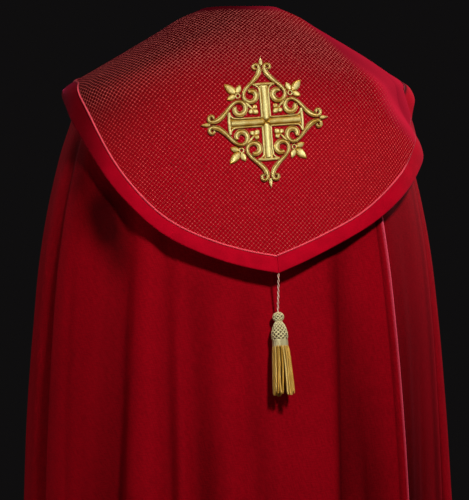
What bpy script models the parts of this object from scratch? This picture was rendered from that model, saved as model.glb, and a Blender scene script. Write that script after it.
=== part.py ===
"""A cope, worn: a mantle of three panels, a stiff shield-shaped hood with a velvet band and piping, a gold
cross embroidered on the hood, and a tassel hung from the hood's tip.

Metres, +Z up. The wearer faces -Y, so the hood hangs at +Y and the wearer's left is +X. The origin is the
middle of the neck opening, level with the top of the shoulders, where the wearer holds the cope up.

Every cloth surface is a form: a table of level rings, read at an azimuth and a level. Azimuth 0 is the
centre back and positive azimuths go round the wearer's left side. A level is a height before the neckline's
dip at the front is added.
"""

import math

import bpy
import numpy as np

# Cloth and seams
CLOTH = 0.002
SEAM_GAP = 0.0003
LAY_GAP = 0.0006
HEM_LEVEL = -1.42

# Rings of the two forms: how far each level reaches to the side, the back and the front
MANTLE_RINGS = (
    # level, half_width, back, front
    (0.000, 0.066, 0.060, 0.056),
    (-0.030, 0.110, 0.095, 0.078),
    (-0.060, 0.160, 0.120, 0.097),
    (-0.090, 0.207, 0.139, 0.113),
    (-0.120, 0.241, 0.151, 0.127),
    (-0.150, 0.262, 0.159, 0.138),
    (-0.200, 0.281, 0.170, 0.150),
    (-0.290, 0.307, 0.185, 0.163),
    (-0.400, 0.329, 0.208, 0.174),
    (-0.520, 0.343, 0.233, 0.184),
    (-0.680, 0.355, 0.265, 0.196),
    (-0.860, 0.364, 0.297, 0.209),
    (-1.120, 0.379, 0.338, 0.230),
    (HEM_LEVEL, 0.396, 0.380, 0.256),
)
HOOD_RINGS = (
    # level, half_width, back, front
    (0.001, 0.0692, 0.0632, 0.0592),
    (-0.010, 0.0985, 0.0790, 0.0700),
    (-0.030, 0.1330, 0.1020, 0.0860),
    (-0.060, 0.1840, 0.1300, 0.1070),
    (-0.090, 0.2340, 0.1500, 0.1240),
    (-0.118, 0.2790, 0.1630, 0.1380),
    (-0.126, 0.2880, 0.1655, 0.1420),
    (-0.134, 0.2920, 0.1680, 0.1460),
    (-0.146, 0.2950, 0.1712, 0.1505),
    (-0.160, 0.2980, 0.1750, 0.1550),
    (-0.200, 0.3090, 0.1840, 0.1660),
    (-0.260, 0.3210, 0.1980, 0.1780),
    (-0.330, 0.3340, 0.2160, 0.1880),
    (-0.440, 0.3500, 0.2490, 0.2000),
)
CORNER_FULLNESS = 0.035

# The front of the neckline lies lower than the back
FRONT_DIP = -0.050
DIP_FADES_AT = -0.260

# Half of the opening between the fronts, by level
FRONT_OPENING = (
    # level, half_gap
    (0.000, 0.010),
    (-0.120, 0.010),
    (-0.500, 0.024),
    (HEM_LEVEL, 0.070),
)

# Soft troughs of the mantle: each starts at its top level and grows down to the hem
MANTLE_TROUGHS = (
    # top_azimuth, hem_azimuth, half_angle, hem_depth, top_level
    (72.0, 71.5, 2.8, 0.026, -0.18),
    (38.8, 47.0, 5.2, 0.050, -0.28),
    (27.4, 27.8, 3.2, 0.032, -0.34),
    (23.0, 16.5, 4.6, 0.034, -0.46),
    (8.5, 2.0, 4.6, 0.016, -0.52),
    (-21.0, -11.5, 3.6, 0.030, -0.36),
    (-22.0, -28.0, 4.0, 0.022, -0.54),
    (-71.5, -69.0, 2.2, 0.016, -0.22),
    (-78.5, -77.0, 4.5, -0.018, -0.20),
    (-90.0, -88.0, 4.5, 0.028, -0.26),
    (-106.0, -104.0, 5.5, 0.040, -0.28),
    (-124.0, -126.0, 5.0, 0.032, -0.34),
    (-142.0, -146.0, 6.0, 0.044, -0.30),
    (-162.0, -164.0, 4.5, 0.030, -0.26),
    (91.0, 88.0, 5.0, 0.034, -0.24),
    (118.0, 116.0, 6.0, 0.042, -0.32),
    (136.0, 139.0, 4.5, 0.030, -0.28),
    (154.0, 158.0, 6.0, 0.040, -0.30),
)
# Pleats whose edge laps over a recess
MANTLE_LAPS = (
    # lip, far_side, lip_softness, far_softness, hem_depth, top_level
    (-38.4, -60.0, 1.0, 6.0, 0.034, -0.22),
)
FOLD_GROWTH = 0.75

# The seams between the mantle's panels, by azimuth
LEFT_SEAM = 72.0
RIGHT_SEAM = -89.0
COLUMN_STEP = 4.6

# The hood's outline: the level of its outer edge on either side
HOOD_EDGE = (
    # azimuth, left_level, right_level
    (0.0, -0.410, -0.410),
    (8.0, -0.400, -0.393),
    (16.0, -0.386, -0.375),
    (29.0, -0.351, -0.3455),
    (42.0, -0.2955, -0.3095),
    (55.0, -0.235, -0.2745),
    (61.0, -0.212, -0.257),
    (67.0, -0.191, -0.240),
    (73.0, -0.172, -0.226),
    (79.0, -0.155, -0.213),
    (85.0, -0.143, -0.190),
    (90.0, -0.135, -0.158),
    (95.0, -0.129, -0.135),
    (101.0, -0.123, -0.122),
    (108.0, -0.117, -0.115),
    (115.0, -0.112, -0.110),
    (130.0, -0.100, -0.100),
    (150.0, -0.086, -0.086),
)
BAND_SHARE = (
    # azimuth, the band's width on the left and on the right, as a share of BAND_WIDTH
    (0.0, 0.96, 0.96),
    (12.0, 0.92, 0.90),
    (24.0, 0.87, 0.88),
    (36.0, 0.85, 1.02),
    (44.0, 0.93, 1.11),
    (52.0, 1.02, 1.24),
    (60.0, 1.17, 1.45),
    (66.0, 1.34, 1.46),
    (70.0, 1.40, 1.46),
    (75.0, 1.26, 1.47),
    (80.0, 1.10, 1.50),
    (84.0, 1.02, 1.44),
    (87.0, 1.00, 1.22),
    (90.0, 1.00, 0.88),
    (93.0, 1.00, 0.66),
    (97.0, 1.00, 0.72),
    (101.0, 1.00, 0.90),
    (106.0, 1.00, 1.00),
    (150.0, 1.00, 1.00),
)
HOOD_FRONT_END = 150.0
BAND_WIDTH = 0.0260
PIPING_RADIUS = 0.0014
PIPING_GAP = 0.0017
HOOD_STEP = 2.5
EDGE_NUDGE = 2.5

# Waves of the stiff hood: positive depths are troughs
HOOD_WAVES = (
    # azimuth, half_angle, depth, level, half_height
    (-92.0, 20.0, -0.010, -0.075, 0.040),
    (-93.5, 7.5, -0.025, -0.160, 0.050),
    (-81.0, 7.0, 0.011, -0.160, 0.045),
    (-63.0, 9.0, -0.0045, -0.245, 0.034),
    (-68.0, 10.0, 0.005, -0.125, 0.030),
    (60.0, 10.0, 0.005, -0.190, 0.060),
    (-24.0, 12.0, 0.003, -0.330, 0.080),
    (30.0, 12.0, -0.003, -0.330, 0.090),
    (112.0, 10.0, 0.008, -0.110, 0.040),
    (-116.0, 9.0, 0.008, -0.110, 0.040),
)
# Slanting folds where the hood bends over the right shoulder: a ridge, and the valley behind it
HOOD_FOLDS = (
    # ((level, azimuth), ...), half_angle, depth, level, half_height
    (((-0.250, -64.0), (-0.209, -57.0), (-0.175, -49.0), (-0.141, -44.0), (-0.100, -43.0)), 4.6, -0.0040, -0.165, 0.060),
    (((-0.230, -74.0), (-0.205, -69.0), (-0.160, -62.0), (-0.109, -66.0), (-0.080, -70.0)), 7.0, 0.0110, -0.165, 0.055),
)

# The embroidered cross: its middle on the hood, its lean, and its own sizes from the middle outwards
CROSS_AZIMUTH = 0.5
CROSS_LEVEL = -0.1785
CROSS_LEAN = math.radians(1.5)
THREAD_DEPTH = 0.0024
ARM_LENGTH = 0.0590
ARM_HALF_WIDTH = 0.0066
SERIF_HALF_WIDTH = 0.0165
ARM_ROOT = 0.0105
FINIAL_TIP = 0.1050
FINIAL_ROOT = 0.0900
VOLUTE_CENTRE = (0.0096, 0.0868)
VOLUTE_RADII = (0.0055, 0.0022)
SPIRAL_CENTRE = (0.0232, 0.0437)
SPIRAL_RADII = (0.0118, 0.0036)
SCROLL_HALF_WIDTH = 0.0022
VOLUTE_TURN = (-100.0, 170.0)
SPIRAL_TURN = (68.0, -285.0)
STEM_PULL = (0.0006, -0.0140)
SPIRAL_PULL = (-0.0140, 0.0062)
CROSSLET_CENTRE = 0.0205
CROSSLET_REACH = 0.0078
LEAF_BASE = 0.0480
LEAF_REACH = 0.0215
ARM_PROFILE = (
    # distance, half_width
    (ARM_ROOT, ARM_HALF_WIDTH),
    (ARM_LENGTH * 0.50, ARM_HALF_WIDTH),
    (ARM_LENGTH * 0.90, ARM_HALF_WIDTH),
    (ARM_LENGTH * 0.95, ARM_HALF_WIDTH * 1.5),
    (ARM_LENGTH * 0.97, SERIF_HALF_WIDTH),
    (ARM_LENGTH, SERIF_HALF_WIDTH),
)
BUD_PROFILE = (
    # share, half_width
    (0.00, 0.0022),
    (0.16, 0.0072),
    (0.34, 0.0080),
    (0.46, 0.0050),
    (0.66, 0.0056),
    (0.84, 0.0034),
    (1.00, 0.0004),
)
FINIAL_PROFILE = (
    # share, half_width
    (0.00, 0.0008),
    (0.30, 0.0030),
    (0.60, 0.0022),
    (1.00, 0.0003),
)
CROSSLET_PROFILE = (
    # share, half_width
    (-1.00, 0.0016),
    (-0.62, 0.0040),
    (-0.30, 0.0026),
    (0.10, 0.0064),
    (0.40, 0.0060),
    (0.62, 0.0018),
    (1.25, 0.0013),
)

# The tassel
CORD_RADIUS = 0.0015
CORD_END_GAP = 0.0008
KNOB_LEVEL = -0.4745
TASSEL_OFF = 0.0035
KNOB = (
    # drop, radius
    (0.0000, 0.0030),
    (0.0025, 0.0074),
    (0.0070, 0.0086),
    (0.0115, 0.0074),
    (0.0140, 0.0046),
)
HEAD = (
    # drop, radius
    (0.0143, 0.0046),
    (0.0175, 0.0064),
    (0.0240, 0.0100),
    (0.0320, 0.0122),
    (0.0390, 0.0124),
    (0.0418, 0.0114),
)
COLLAR = (
    # drop, radius
    (0.0421, 0.0118),
    (0.0445, 0.0126),
    (0.0505, 0.0126),
    (0.0532, 0.0120),
)
SKIRT = (
    # drop, radius
    (0.0535, 0.0126),
    (0.0620, 0.0148),
    (0.0820, 0.0166),
    (0.1060, 0.0178),
    (0.1310, 0.0183),
)

# The tab that fastens the fronts
TAB_HALF_WIDTH = 0.060
TAB_LEVELS = (-0.088, -0.128)
TAB_THICKNESS = 0.003

RED_CLOTH = ((0.26, 0.002, 0.008, 1.0), 0.75, 0.0)
RED_BROCADE = ((0.22, 0.002, 0.008, 1.0), 0.60, 0.0)
RED_VELVET = ((0.40, 0.001, 0.016, 1.0), 0.85, 0.0)
RED_CORD = ((0.62, 0.03, 0.06, 1.0), 0.50, 0.0)
GOLD_THREAD = ((0.62, 0.36, 0.09, 1.0), 0.35, 0.8)


def clear_scene():
    for obj in list(bpy.data.objects):
        bpy.data.objects.remove(obj, do_unlink=True)


def material(name, finish):
    color, roughness, metallic = finish
    made = bpy.data.materials.new(name)
    made.use_nodes = True
    shader = made.node_tree.nodes["Principled BSDF"]
    shader.inputs["Base Color"].default_value = color
    shader.inputs["Roughness"].default_value = roughness
    shader.inputs["Metallic"].default_value = metallic
    return made


def smooth_read(xs, ys, x):
    """A cubic through the rows of a table, with each row's slope from its two neighbours."""
    xs = np.asarray(xs, float)
    ys = np.asarray(ys, float)
    slopes = np.gradient(ys, xs)
    x = np.clip(x, xs[0], xs[-1])
    i = np.clip(np.searchsorted(xs, x, side="right") - 1, 0, len(xs) - 2)
    width = xs[i + 1] - xs[i]
    t = (x - xs[i]) / width
    rise = ys[i] * (1 + 2 * t) * (1 - t) ** 2 + ys[i + 1] * t**2 * (3 - 2 * t)
    lean = slopes[i] * t * (1 - t) ** 2 - slopes[i + 1] * t**2 * (1 - t)
    return rise + lean * width


def read_rings(rings, level):
    """The half width, back and front of a form at some levels."""
    rows = np.array(rings)[::-1]
    return [smooth_read(rows[:, 0], rows[:, column], level) for column in (1, 2, 3)]


def smooth_step(t):
    t = np.clip(t, 0.0, 1.0)
    return t * t * (3 - 2 * t)


def form_point(rings, azimuth, level, inward=0.0):
    """A ring is an ellipse filled out a little at its four corners, deeper behind than in front."""
    azimuth, level = np.broadcast_arrays(np.asarray(azimuth, float), np.asarray(level, float))
    angle = np.radians(azimuth)
    half_width, back, front = read_rings(rings, level)
    depth = np.where(np.cos(angle) > 0, back, front)
    fuller = 1 + CORNER_FULLNESS * np.sin(2 * angle) ** 2
    frontness = ((1 - np.cos(angle)) / 2) ** 2
    fade = smooth_step(1 - level / DIP_FADES_AT)
    out = 1 - inward / np.hypot(half_width * np.sin(angle), depth * np.cos(angle))
    x = half_width * np.sin(angle) * fuller * out
    y = depth * np.cos(angle) * fuller * out
    z = level + FRONT_DIP * frontness * fade
    return np.stack([x, y, z], axis=-1)


def mantle_fold(azimuth, level):
    """How far the pleats draw the mantle in: each grows from nothing at its top to its full depth at the hem."""
    inward = np.zeros(np.broadcast(azimuth, level).shape)
    for top_azimuth, hem_azimuth, half_angle, depth, top in MANTLE_TROUGHS:
        share = np.clip((level - top) / (HEM_LEVEL - top), 0, 1)
        centre = top_azimuth + (hem_azimuth - top_azimuth) * share
        across = np.exp(-(((azimuth - centre) / half_angle) ** 2))
        inward = inward + depth * share**FOLD_GROWTH * across
    for lip, far, lip_soft, far_soft, depth, top in MANTLE_LAPS:
        grown = np.clip((level - top) / (HEM_LEVEL - top), 0, 1) ** FOLD_GROWTH
        inside = np.tanh((lip - azimuth) / lip_soft) - np.tanh((far - azimuth) / far_soft)
        inward = inward + depth * grown * inside / 2
    return inward


def mantle_point(azimuth, level):
    return form_point(MANTLE_RINGS, azimuth, level, mantle_fold(azimuth, level))


def hood_point(azimuth, level):
    inward = np.zeros(np.broadcast(azimuth, level).shape)
    for centre, half_angle, depth, middle, half_height in HOOD_WAVES:
        across = ((azimuth - centre) / half_angle) ** 2
        along = ((level - middle) / half_height) ** 2
        inward = inward + depth * np.exp(-across - along)
    for line, half_angle, depth, middle, half_height in HOOD_FOLDS:
        centre = smooth_read([row[0] for row in line], [row[1] for row in line], level)
        across = ((azimuth - centre) / half_angle) ** 2
        along = ((level - middle) / half_height) ** 2
        inward = inward + depth * np.exp(-across - along)
    return form_point(HOOD_RINGS, azimuth, level, inward)


def speeds(point, azimuth, level):
    """Metres gone for each degree of azimuth and for each metre of level, and the outward unit normal."""
    across = (point(azimuth + 0.5, level) - point(azimuth - 0.5, level)) / 1.0
    along = (point(azimuth, level + 0.001) - point(azimuth, level - 0.001)) / 0.002
    normal = np.cross(along, across)
    normal /= np.linalg.norm(normal, axis=-1, keepdims=True)
    return np.linalg.norm(across, axis=-1), np.linalg.norm(along, axis=-1), normal


def moved_out(point, azimuth, level, distance):
    normal = speeds(point, azimuth, level)[2]
    return point(azimuth, level) + normal * distance


def read_sides(table, azimuth):
    """A table of azimuth, left and right, read on the side that the azimuth is on."""
    rows = np.array(table)
    left = smooth_read(rows[:, 0], rows[:, 1], np.abs(azimuth))
    right = smooth_read(rows[:, 0], rows[:, 2], np.abs(azimuth))
    return np.where(np.asarray(azimuth) >= 0, left, right)


def hood_edge(azimuth):
    return read_sides(HOOD_EDGE, azimuth)


def hood_inset(azimuth, inset):
    """The level that lies a distance in from the hood's edge, across the edge's own direction. The band takes its share."""
    edge = hood_edge(azimuth)
    inset = inset + np.minimum(inset, BAND_WIDTH) * (read_sides(BAND_SHARE, azimuth) - 1)
    across, along, _ = speeds(hood_point, azimuth, edge + inset / 2)
    behind = azimuth * np.maximum(0, 1 - EDGE_NUDGE / np.maximum(np.abs(azimuth), EDGE_NUDGE / 8))
    ahead = azimuth + np.where(np.asarray(azimuth) >= 0, EDGE_NUDGE, -EDGE_NUDGE)
    slope = (hood_edge(ahead) - hood_edge(behind)) / (ahead - behind) / across * along
    return edge + inset * np.sqrt(1 + slope**2) / along


def mesh_object(name, points, triangles, finish, smooth=True):
    """A closed mesh, turned right side out by its signed volume."""
    points = np.asarray(points, float)
    triangles = np.asarray(triangles, int)
    if np.linalg.det(points[triangles]).sum() < 0:
        triangles = triangles[:, ::-1]
    mesh = bpy.data.meshes.new(name)
    mesh.from_pydata(points.tolist(), [], triangles.tolist())
    mesh.validate()
    if smooth:
        mesh.shade_smooth()
        mesh.set_sharp_from_angle(angle=math.radians(50))
    mesh.materials.append(finish)
    made = bpy.data.objects.new(name, mesh)
    bpy.context.scene.collection.objects.link(made)
    return made


def cells(rows, columns, first=0):
    """The two triangles of each cell of a grid, always cut along the same diagonal."""
    corner = (np.arange(rows - 1)[:, None] * columns + np.arange(columns - 1)).ravel() + first
    lower = np.stack([corner, corner + 1, corner + columns + 1], axis=1)
    upper = np.stack([corner, corner + columns + 1, corner + columns], axis=1)
    return np.concatenate([lower, upper])


def slab(name, outer, inner, finish):
    """A wall between two grids of points, closed round its rim."""
    rows, columns = outer.shape[:2]
    count = rows * columns
    index = np.arange(count).reshape(rows, columns)
    rim = np.concatenate([index[0, :-1], index[:-1, -1], index[-1, :0:-1], index[:0:-1, 0]])
    after = np.roll(rim, -1)
    sides = np.concatenate(
        [np.stack([after, rim, rim + count], axis=1), np.stack([after, rim + count, after + count], axis=1)]
    )
    faces = np.concatenate([cells(rows, columns), cells(rows, columns, count)[:, ::-1], sides])
    points = np.concatenate([outer.reshape(-1, 3), inner.reshape(-1, 3)])
    return mesh_object(name, points, faces, finish)


def cloth(name, point, azimuth, level, finish, thickness=CLOTH):
    """A panel of cloth whose outer face lies on its form."""
    outer = point(azimuth, level)
    return slab(name, outer, moved_out(point, azimuth, level, -thickness), finish)


def tube(name, path, one_side, other_side, radius, sides, finish):
    """A rod round a path, whose section is turned by two directions given along it."""
    turn = np.linspace(0, 2 * math.pi, sides, endpoint=False)
    ring = np.cos(turn)[:, None, None] * one_side + np.sin(turn)[:, None, None] * other_side
    wall = np.transpose(path + radius * ring, (1, 0, 2))
    count = len(path)
    points = np.concatenate([wall.reshape(-1, 3), path[[0, -1]]])
    faces = []
    for step in range(count - 1):
        for side in range(sides):
            here = step * sides + side
            beside = step * sides + (side + 1) % sides
            faces += [(here, beside, beside + sides), (here, beside + sides, here + sides)]
    for side in range(sides):
        beside = (side + 1) % sides
        last = (count - 1) * sides
        faces += [(beside, side, count * sides), (last + side, last + beside, count * sides + 1)]
    return mesh_object(name, points, faces, finish)


# Mantle


def front_edge(level):
    rows = np.array(FRONT_OPENING)[::-1]
    half_gap = smooth_read(rows[:, 0], rows[:, 1], level)
    return 180.0 - np.degrees(half_gap / read_rings(MANTLE_RINGS, level)[0])


def mantle_columns(start, end):
    """Even azimuths between two seams, with more of them at a lap's lip."""
    count = int(round(abs(end - start) / COLUMN_STEP)) + 1
    columns = list(np.linspace(start, end, count))
    for lip, _, softness, _, _, _ in MANTLE_LAPS:
        near = [lip - softness, lip + softness]
        if min(start, end) < lip < max(start, end):
            columns = [column for column in columns if abs(column - lip) > 2 * softness] + near
    return np.array(sorted(columns, reverse=start > end))


def build_mantle(finish):
    level = np.array([row[0] for row in MANTLE_RINGS])[:, None]
    half_seam = SEAM_GAP / 2 / speeds(mantle_point, np.array([[90.0]]), level)[0]
    spans = (
        ("mantle_back", RIGHT_SEAM + half_seam, LEFT_SEAM - half_seam),
        ("mantle_left", LEFT_SEAM + half_seam, front_edge(level)),
        ("mantle_right", RIGHT_SEAM - half_seam, -front_edge(level)),
    )
    for name, start, end in spans:
        columns = mantle_columns(float(start.mean()), float(end.mean()))
        share = (columns - columns[0]) / (columns[-1] - columns[0])
        azimuth = start + (end - start) * share
        cloth(name, mantle_point, azimuth, level, finish)


def build_tab(finish):
    """A strap over the two front edges, just off the mantle."""
    level = np.linspace(TAB_LEVELS[0], TAB_LEVELS[1], 4)[:, None]
    reach = np.degrees(TAB_HALF_WIDTH / read_rings(MANTLE_RINGS, level)[0])
    azimuth = 180 + reach * np.linspace(-1, 1, 9)
    inner = moved_out(mantle_point, azimuth, level, LAY_GAP)
    outer = moved_out(mantle_point, azimuth, level, LAY_GAP + TAB_THICKNESS)
    slab("morse_tab", outer, inner, finish)


# Hood


def build_hood(brocade, velvet, cord):
    panel_inset = BAND_WIDTH + 2 * (PIPING_RADIUS + PIPING_GAP)
    columns = np.arange(0.0, HOOD_FRONT_END + HOOD_STEP, HOOD_STEP)
    azimuth = np.concatenate([-columns[:0:-1], columns])
    seam = hood_inset(azimuth, panel_inset)
    share = np.linspace(0, 1, 10)[:, None]
    top = HOOD_RINGS[0][0]
    cloth("hood_panel", hood_point, azimuth[None, :], top + (seam - top) * share, brocade)
    for side, name in ((1, "left"), (-1, "right")):
        azimuth = side * np.maximum(columns, np.degrees(SEAM_GAP / HOOD_RINGS[-1][2] / 2))
        inset = np.array([[0.0], [0.5], [1.0]]) * BAND_WIDTH
        cloth("hood_band_" + name, hood_point, azimuth[None, :], hood_inset(azimuth, inset), velvet)
        along = hood_inset(azimuth, BAND_WIDTH + PIPING_GAP + PIPING_RADIUS)
        path = moved_out(hood_point, azimuth, along, -CLOTH / 3)
        normal = speeds(hood_point, azimuth, along)[2]
        beside = np.cross(normal, np.gradient(path, axis=0))
        beside /= np.linalg.norm(beside, axis=-1, keepdims=True)
        tube("hood_piping_" + name, path, normal, beside, PIPING_RADIUS, 6, cord)


# Embroidery: drawn flat, with x to the wearer's right and y up, and then laid on the hood


def laid_on_hood(x, y, lift):
    """Points of the flat drawing, walked out from the cross's middle along the hood's own lengths."""
    lean_x = x * math.cos(CROSS_LEAN) - y * math.sin(CROSS_LEAN)
    lean_y = x * math.sin(CROSS_LEAN) + y * math.cos(CROSS_LEAN)
    azimuth = np.full(np.shape(x), CROSS_AZIMUTH)
    level = np.full(np.shape(x), CROSS_LEVEL)
    steps = 6
    for _ in range(steps):
        level = level + lean_y / steps / speeds(hood_point, azimuth, level)[1]
    for _ in range(steps):
        azimuth = azimuth - lean_x / steps / speeds(hood_point, azimuth, level)[0]
    return moved_out(hood_point, azimuth, level, lift)


def turned_copy(x, y, quarter, mirrored):
    """One of the eight like places round the middle."""
    if mirrored:
        x, y = y, x
    for _ in range(quarter):
        x, y = y, -x
    return x, y


def stitched(name, x, y, finish):
    """A raised piece over a flat grid of the drawing."""
    inner = laid_on_hood(x, y, LAY_GAP)
    outer = laid_on_hood(x, y, LAY_GAP + THREAD_DEPTH)
    slab(name, outer, inner, finish)


def ribbon(line, half_width):
    """A strip about a line: three points across it at each step."""
    run = np.gradient(line, axis=0)
    run /= np.linalg.norm(run, axis=1, keepdims=True)
    across = np.stack([-run[:, 1], run[:, 0]], axis=1) * half_width[:, None]
    strip = np.stack([line - across, line, line + across])
    return strip[..., 0], strip[..., 1]


def profile_ribbon(profile, start, step):
    """A piece whose half widths are read from a profile: each row lies its share of a step on from the start."""
    rows = np.array(profile)
    line = np.array(start) + rows[:, :1] * np.array(step)
    return ribbon(line, rows[:, 1])


def spiral(centre, radii, angles, count):
    turn = np.radians(np.linspace(angles[0], angles[1], count))
    radius = np.linspace(radii[0], radii[1], count)
    return np.stack([centre[0] + radius * np.cos(turn), centre[1] + radius * np.sin(turn)], axis=1)


def ogee(start, start_pull, end_pull, end, count):
    """A cubic Bezier curve, without its two end points."""
    t = np.linspace(0, 1, count + 2)[1:-1, None]
    start, start_pull, end_pull, end = map(np.array, (start, start_pull, end_pull, end))
    return (
        start * (1 - t) ** 3
        + start_pull * 3 * t * (1 - t) ** 2
        + end_pull * 3 * t**2 * (1 - t)
        + end * t**3
    )


def scroll_shape():
    """A small volute by the finial, an ogee down its stem, and a large spiral that curls back in."""
    volute = spiral(VOLUTE_CENTRE, VOLUTE_RADII[::-1], VOLUTE_TURN, 8)
    hook = spiral(SPIRAL_CENTRE, SPIRAL_RADII, SPIRAL_TURN, 14)
    stem_end = volute[-1] + np.array(STEM_PULL)
    arrival = hook[0] + np.array(SPIRAL_PULL)
    link = ogee(volute[-1], stem_end, arrival, hook[0], 6)
    line = np.concatenate([volute, link, hook])
    width = np.full(len(line), SCROLL_HALF_WIDTH)
    width[:2] *= 0.8
    width[-8:-3] *= 1.2
    return ribbon(line, width)


def build_embroidery(gold):
    diagonal = np.array([1.0, 1.0]) / math.sqrt(2)
    shapes = (
        ("cross_arm_", profile_ribbon(ARM_PROFILE, (0, 0), (0, 1))),
        ("finial_", profile_ribbon(FINIAL_PROFILE, (0, FINIAL_ROOT), (0, FINIAL_TIP - FINIAL_ROOT))),
        ("leaf_", profile_ribbon(BUD_PROFILE, (LEAF_BASE, LEAF_BASE), LEAF_REACH * diagonal)),
        (
            "crosslet_",
            profile_ribbon(CROSSLET_PROFILE, (CROSSLET_CENTRE, CROSSLET_CENTRE), CROSSLET_REACH * diagonal),
        ),
    )
    for quarter in range(4):
        number = str(quarter + 1)
        for name, shape in shapes:
            stitched(name + number, *turned_copy(*shape, quarter, False), gold)
        for mirrored in (False, True):
            name = "scroll_" + str(2 * quarter + 1 + mirrored)
            stitched(name, *turned_copy(*scroll_shape(), quarter, mirrored), gold)


# Tassel


def tassel_axis():
    """Where the tassel hangs: its top and bottom, a skirt's radius off the mantle."""
    top = moved_out(mantle_point, np.array(0.0), np.array(KNOB_LEVEL), KNOB[2][1] + TASSEL_OFF)
    bottom_level = KNOB_LEVEL - SKIRT[-1][0]
    bottom = moved_out(mantle_point, np.array(0.0), np.array(bottom_level), SKIRT[-1][1] + TASSEL_OFF)
    return top, bottom


def turned_piece(name, profile, sides, finish):
    """Rings about the tassel's axis, one for each row of the profile."""
    top, bottom = tassel_axis()
    down = (bottom - top) / np.linalg.norm(bottom - top)
    sideways = np.array([1.0, 0.0, 0.0])
    outward = np.cross(sideways, down)
    turn = np.linspace(0, 2 * math.pi, sides, endpoint=False)
    ring = np.cos(turn)[:, None] * sideways + np.sin(turn)[:, None] * outward
    rows = np.array(profile)
    points = (top + down * rows[:, :1])[:, None, :] + rows[:, 1][:, None, None] * ring
    ends = top + down * rows[[0, -1], :1]
    count = len(rows) * sides
    faces = []
    for row in range(len(rows) - 1):
        for side in range(sides):
            here = row * sides + side
            beside = row * sides + (side + 1) % sides
            faces += [(here, beside, beside + sides), (here, beside + sides, here + sides)]
    for side in range(sides):
        beside = (side + 1) % sides
        faces += [(beside, side, count), (count - sides + side, count - sides + beside, count + 1)]
    mesh_object(name, np.concatenate([points.reshape(-1, 3), ends]), faces, finish)


def build_tassel(gold):
    top, _ = tassel_axis()
    tip = moved_out(hood_point, np.array(0.0), hood_edge(np.array(0.0)), -CLOTH / 2)
    start = tip - np.array([0, 0, SEAM_GAP])
    end = top + np.array([0, 0, CORD_END_GAP])
    line = bpy.data.curves.new("tassel_cord", "CURVE")
    line.dimensions = "3D"
    line.bevel_depth = CORD_RADIUS
    line.bevel_resolution = 2
    line.use_fill_caps = True
    spline = line.splines.new("POLY")
    share = np.linspace(0, 1, 10)[:, None]
    path = start + (end - start) * share
    spline.points.add(len(path) - 1)
    spline.points.foreach_set("co", np.column_stack([path, np.ones(len(path))]).ravel())
    line.materials.append(gold)
    cord = bpy.data.objects.new("tassel_cord", line)
    bpy.context.scene.collection.objects.link(cord)
    for name, profile in (("knob", KNOB), ("head", HEAD), ("collar", COLLAR), ("skirt", SKIRT)):
        turned_piece("tassel_" + name, profile, 16, gold)


def main():
    clear_scene()
    red_cloth = material("mantle_cloth", RED_CLOTH)
    gold = material("gold_thread", GOLD_THREAD)
    velvet = material("band_velvet", RED_VELVET)
    build_mantle(red_cloth)
    build_tab(velvet)
    build_hood(material("hood_brocade", RED_BROCADE), velvet, material("piping_cord", RED_CORD))
    build_embroidery(gold)
    build_tassel(gold)


if __name__ == "__main__":
    main()
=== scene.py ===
"""Builds a worn cope as cloth, velvet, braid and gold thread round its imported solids.

Metres, +Z up. The wearer faces -Y, so the hood hangs at +Y and the wearer's left is +X. Every cloth is a form: a
table of level rings read at an azimuth and a level. Azimuth 0 is the centre back, and positive azimuths go round
the wearer's left side. A level is a height before the neckline's dip at the front is added.
"""

import math

import bpy
import mathutils
import numpy as np
from bpy.props import FloatProperty, FloatVectorProperty, IntProperty, PointerProperty
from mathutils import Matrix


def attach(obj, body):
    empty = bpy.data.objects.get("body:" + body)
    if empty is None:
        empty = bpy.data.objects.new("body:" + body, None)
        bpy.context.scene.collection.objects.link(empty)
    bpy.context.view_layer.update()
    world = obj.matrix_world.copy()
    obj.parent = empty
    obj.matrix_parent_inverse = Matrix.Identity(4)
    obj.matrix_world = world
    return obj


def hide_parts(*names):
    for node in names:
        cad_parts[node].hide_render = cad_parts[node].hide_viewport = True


bl_info = {
    "name": "Cope",
    "version": (1, 0, 0),
    "blender": (4, 5, 0),
    "location": "View3D > Sidebar > Cope",
    "description": "Makes a worn cope: mantle, hood with its band and piping, gold cross, tassel and front tab",
    "category": "Add Mesh",
}

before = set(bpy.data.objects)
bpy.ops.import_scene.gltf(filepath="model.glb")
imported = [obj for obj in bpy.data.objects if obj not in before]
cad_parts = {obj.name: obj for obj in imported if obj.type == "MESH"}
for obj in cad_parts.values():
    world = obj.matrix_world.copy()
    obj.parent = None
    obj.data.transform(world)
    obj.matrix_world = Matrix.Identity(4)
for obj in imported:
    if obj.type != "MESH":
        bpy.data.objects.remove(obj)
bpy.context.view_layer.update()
BODY = "root"

HEM_LEVEL = -1.42

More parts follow.
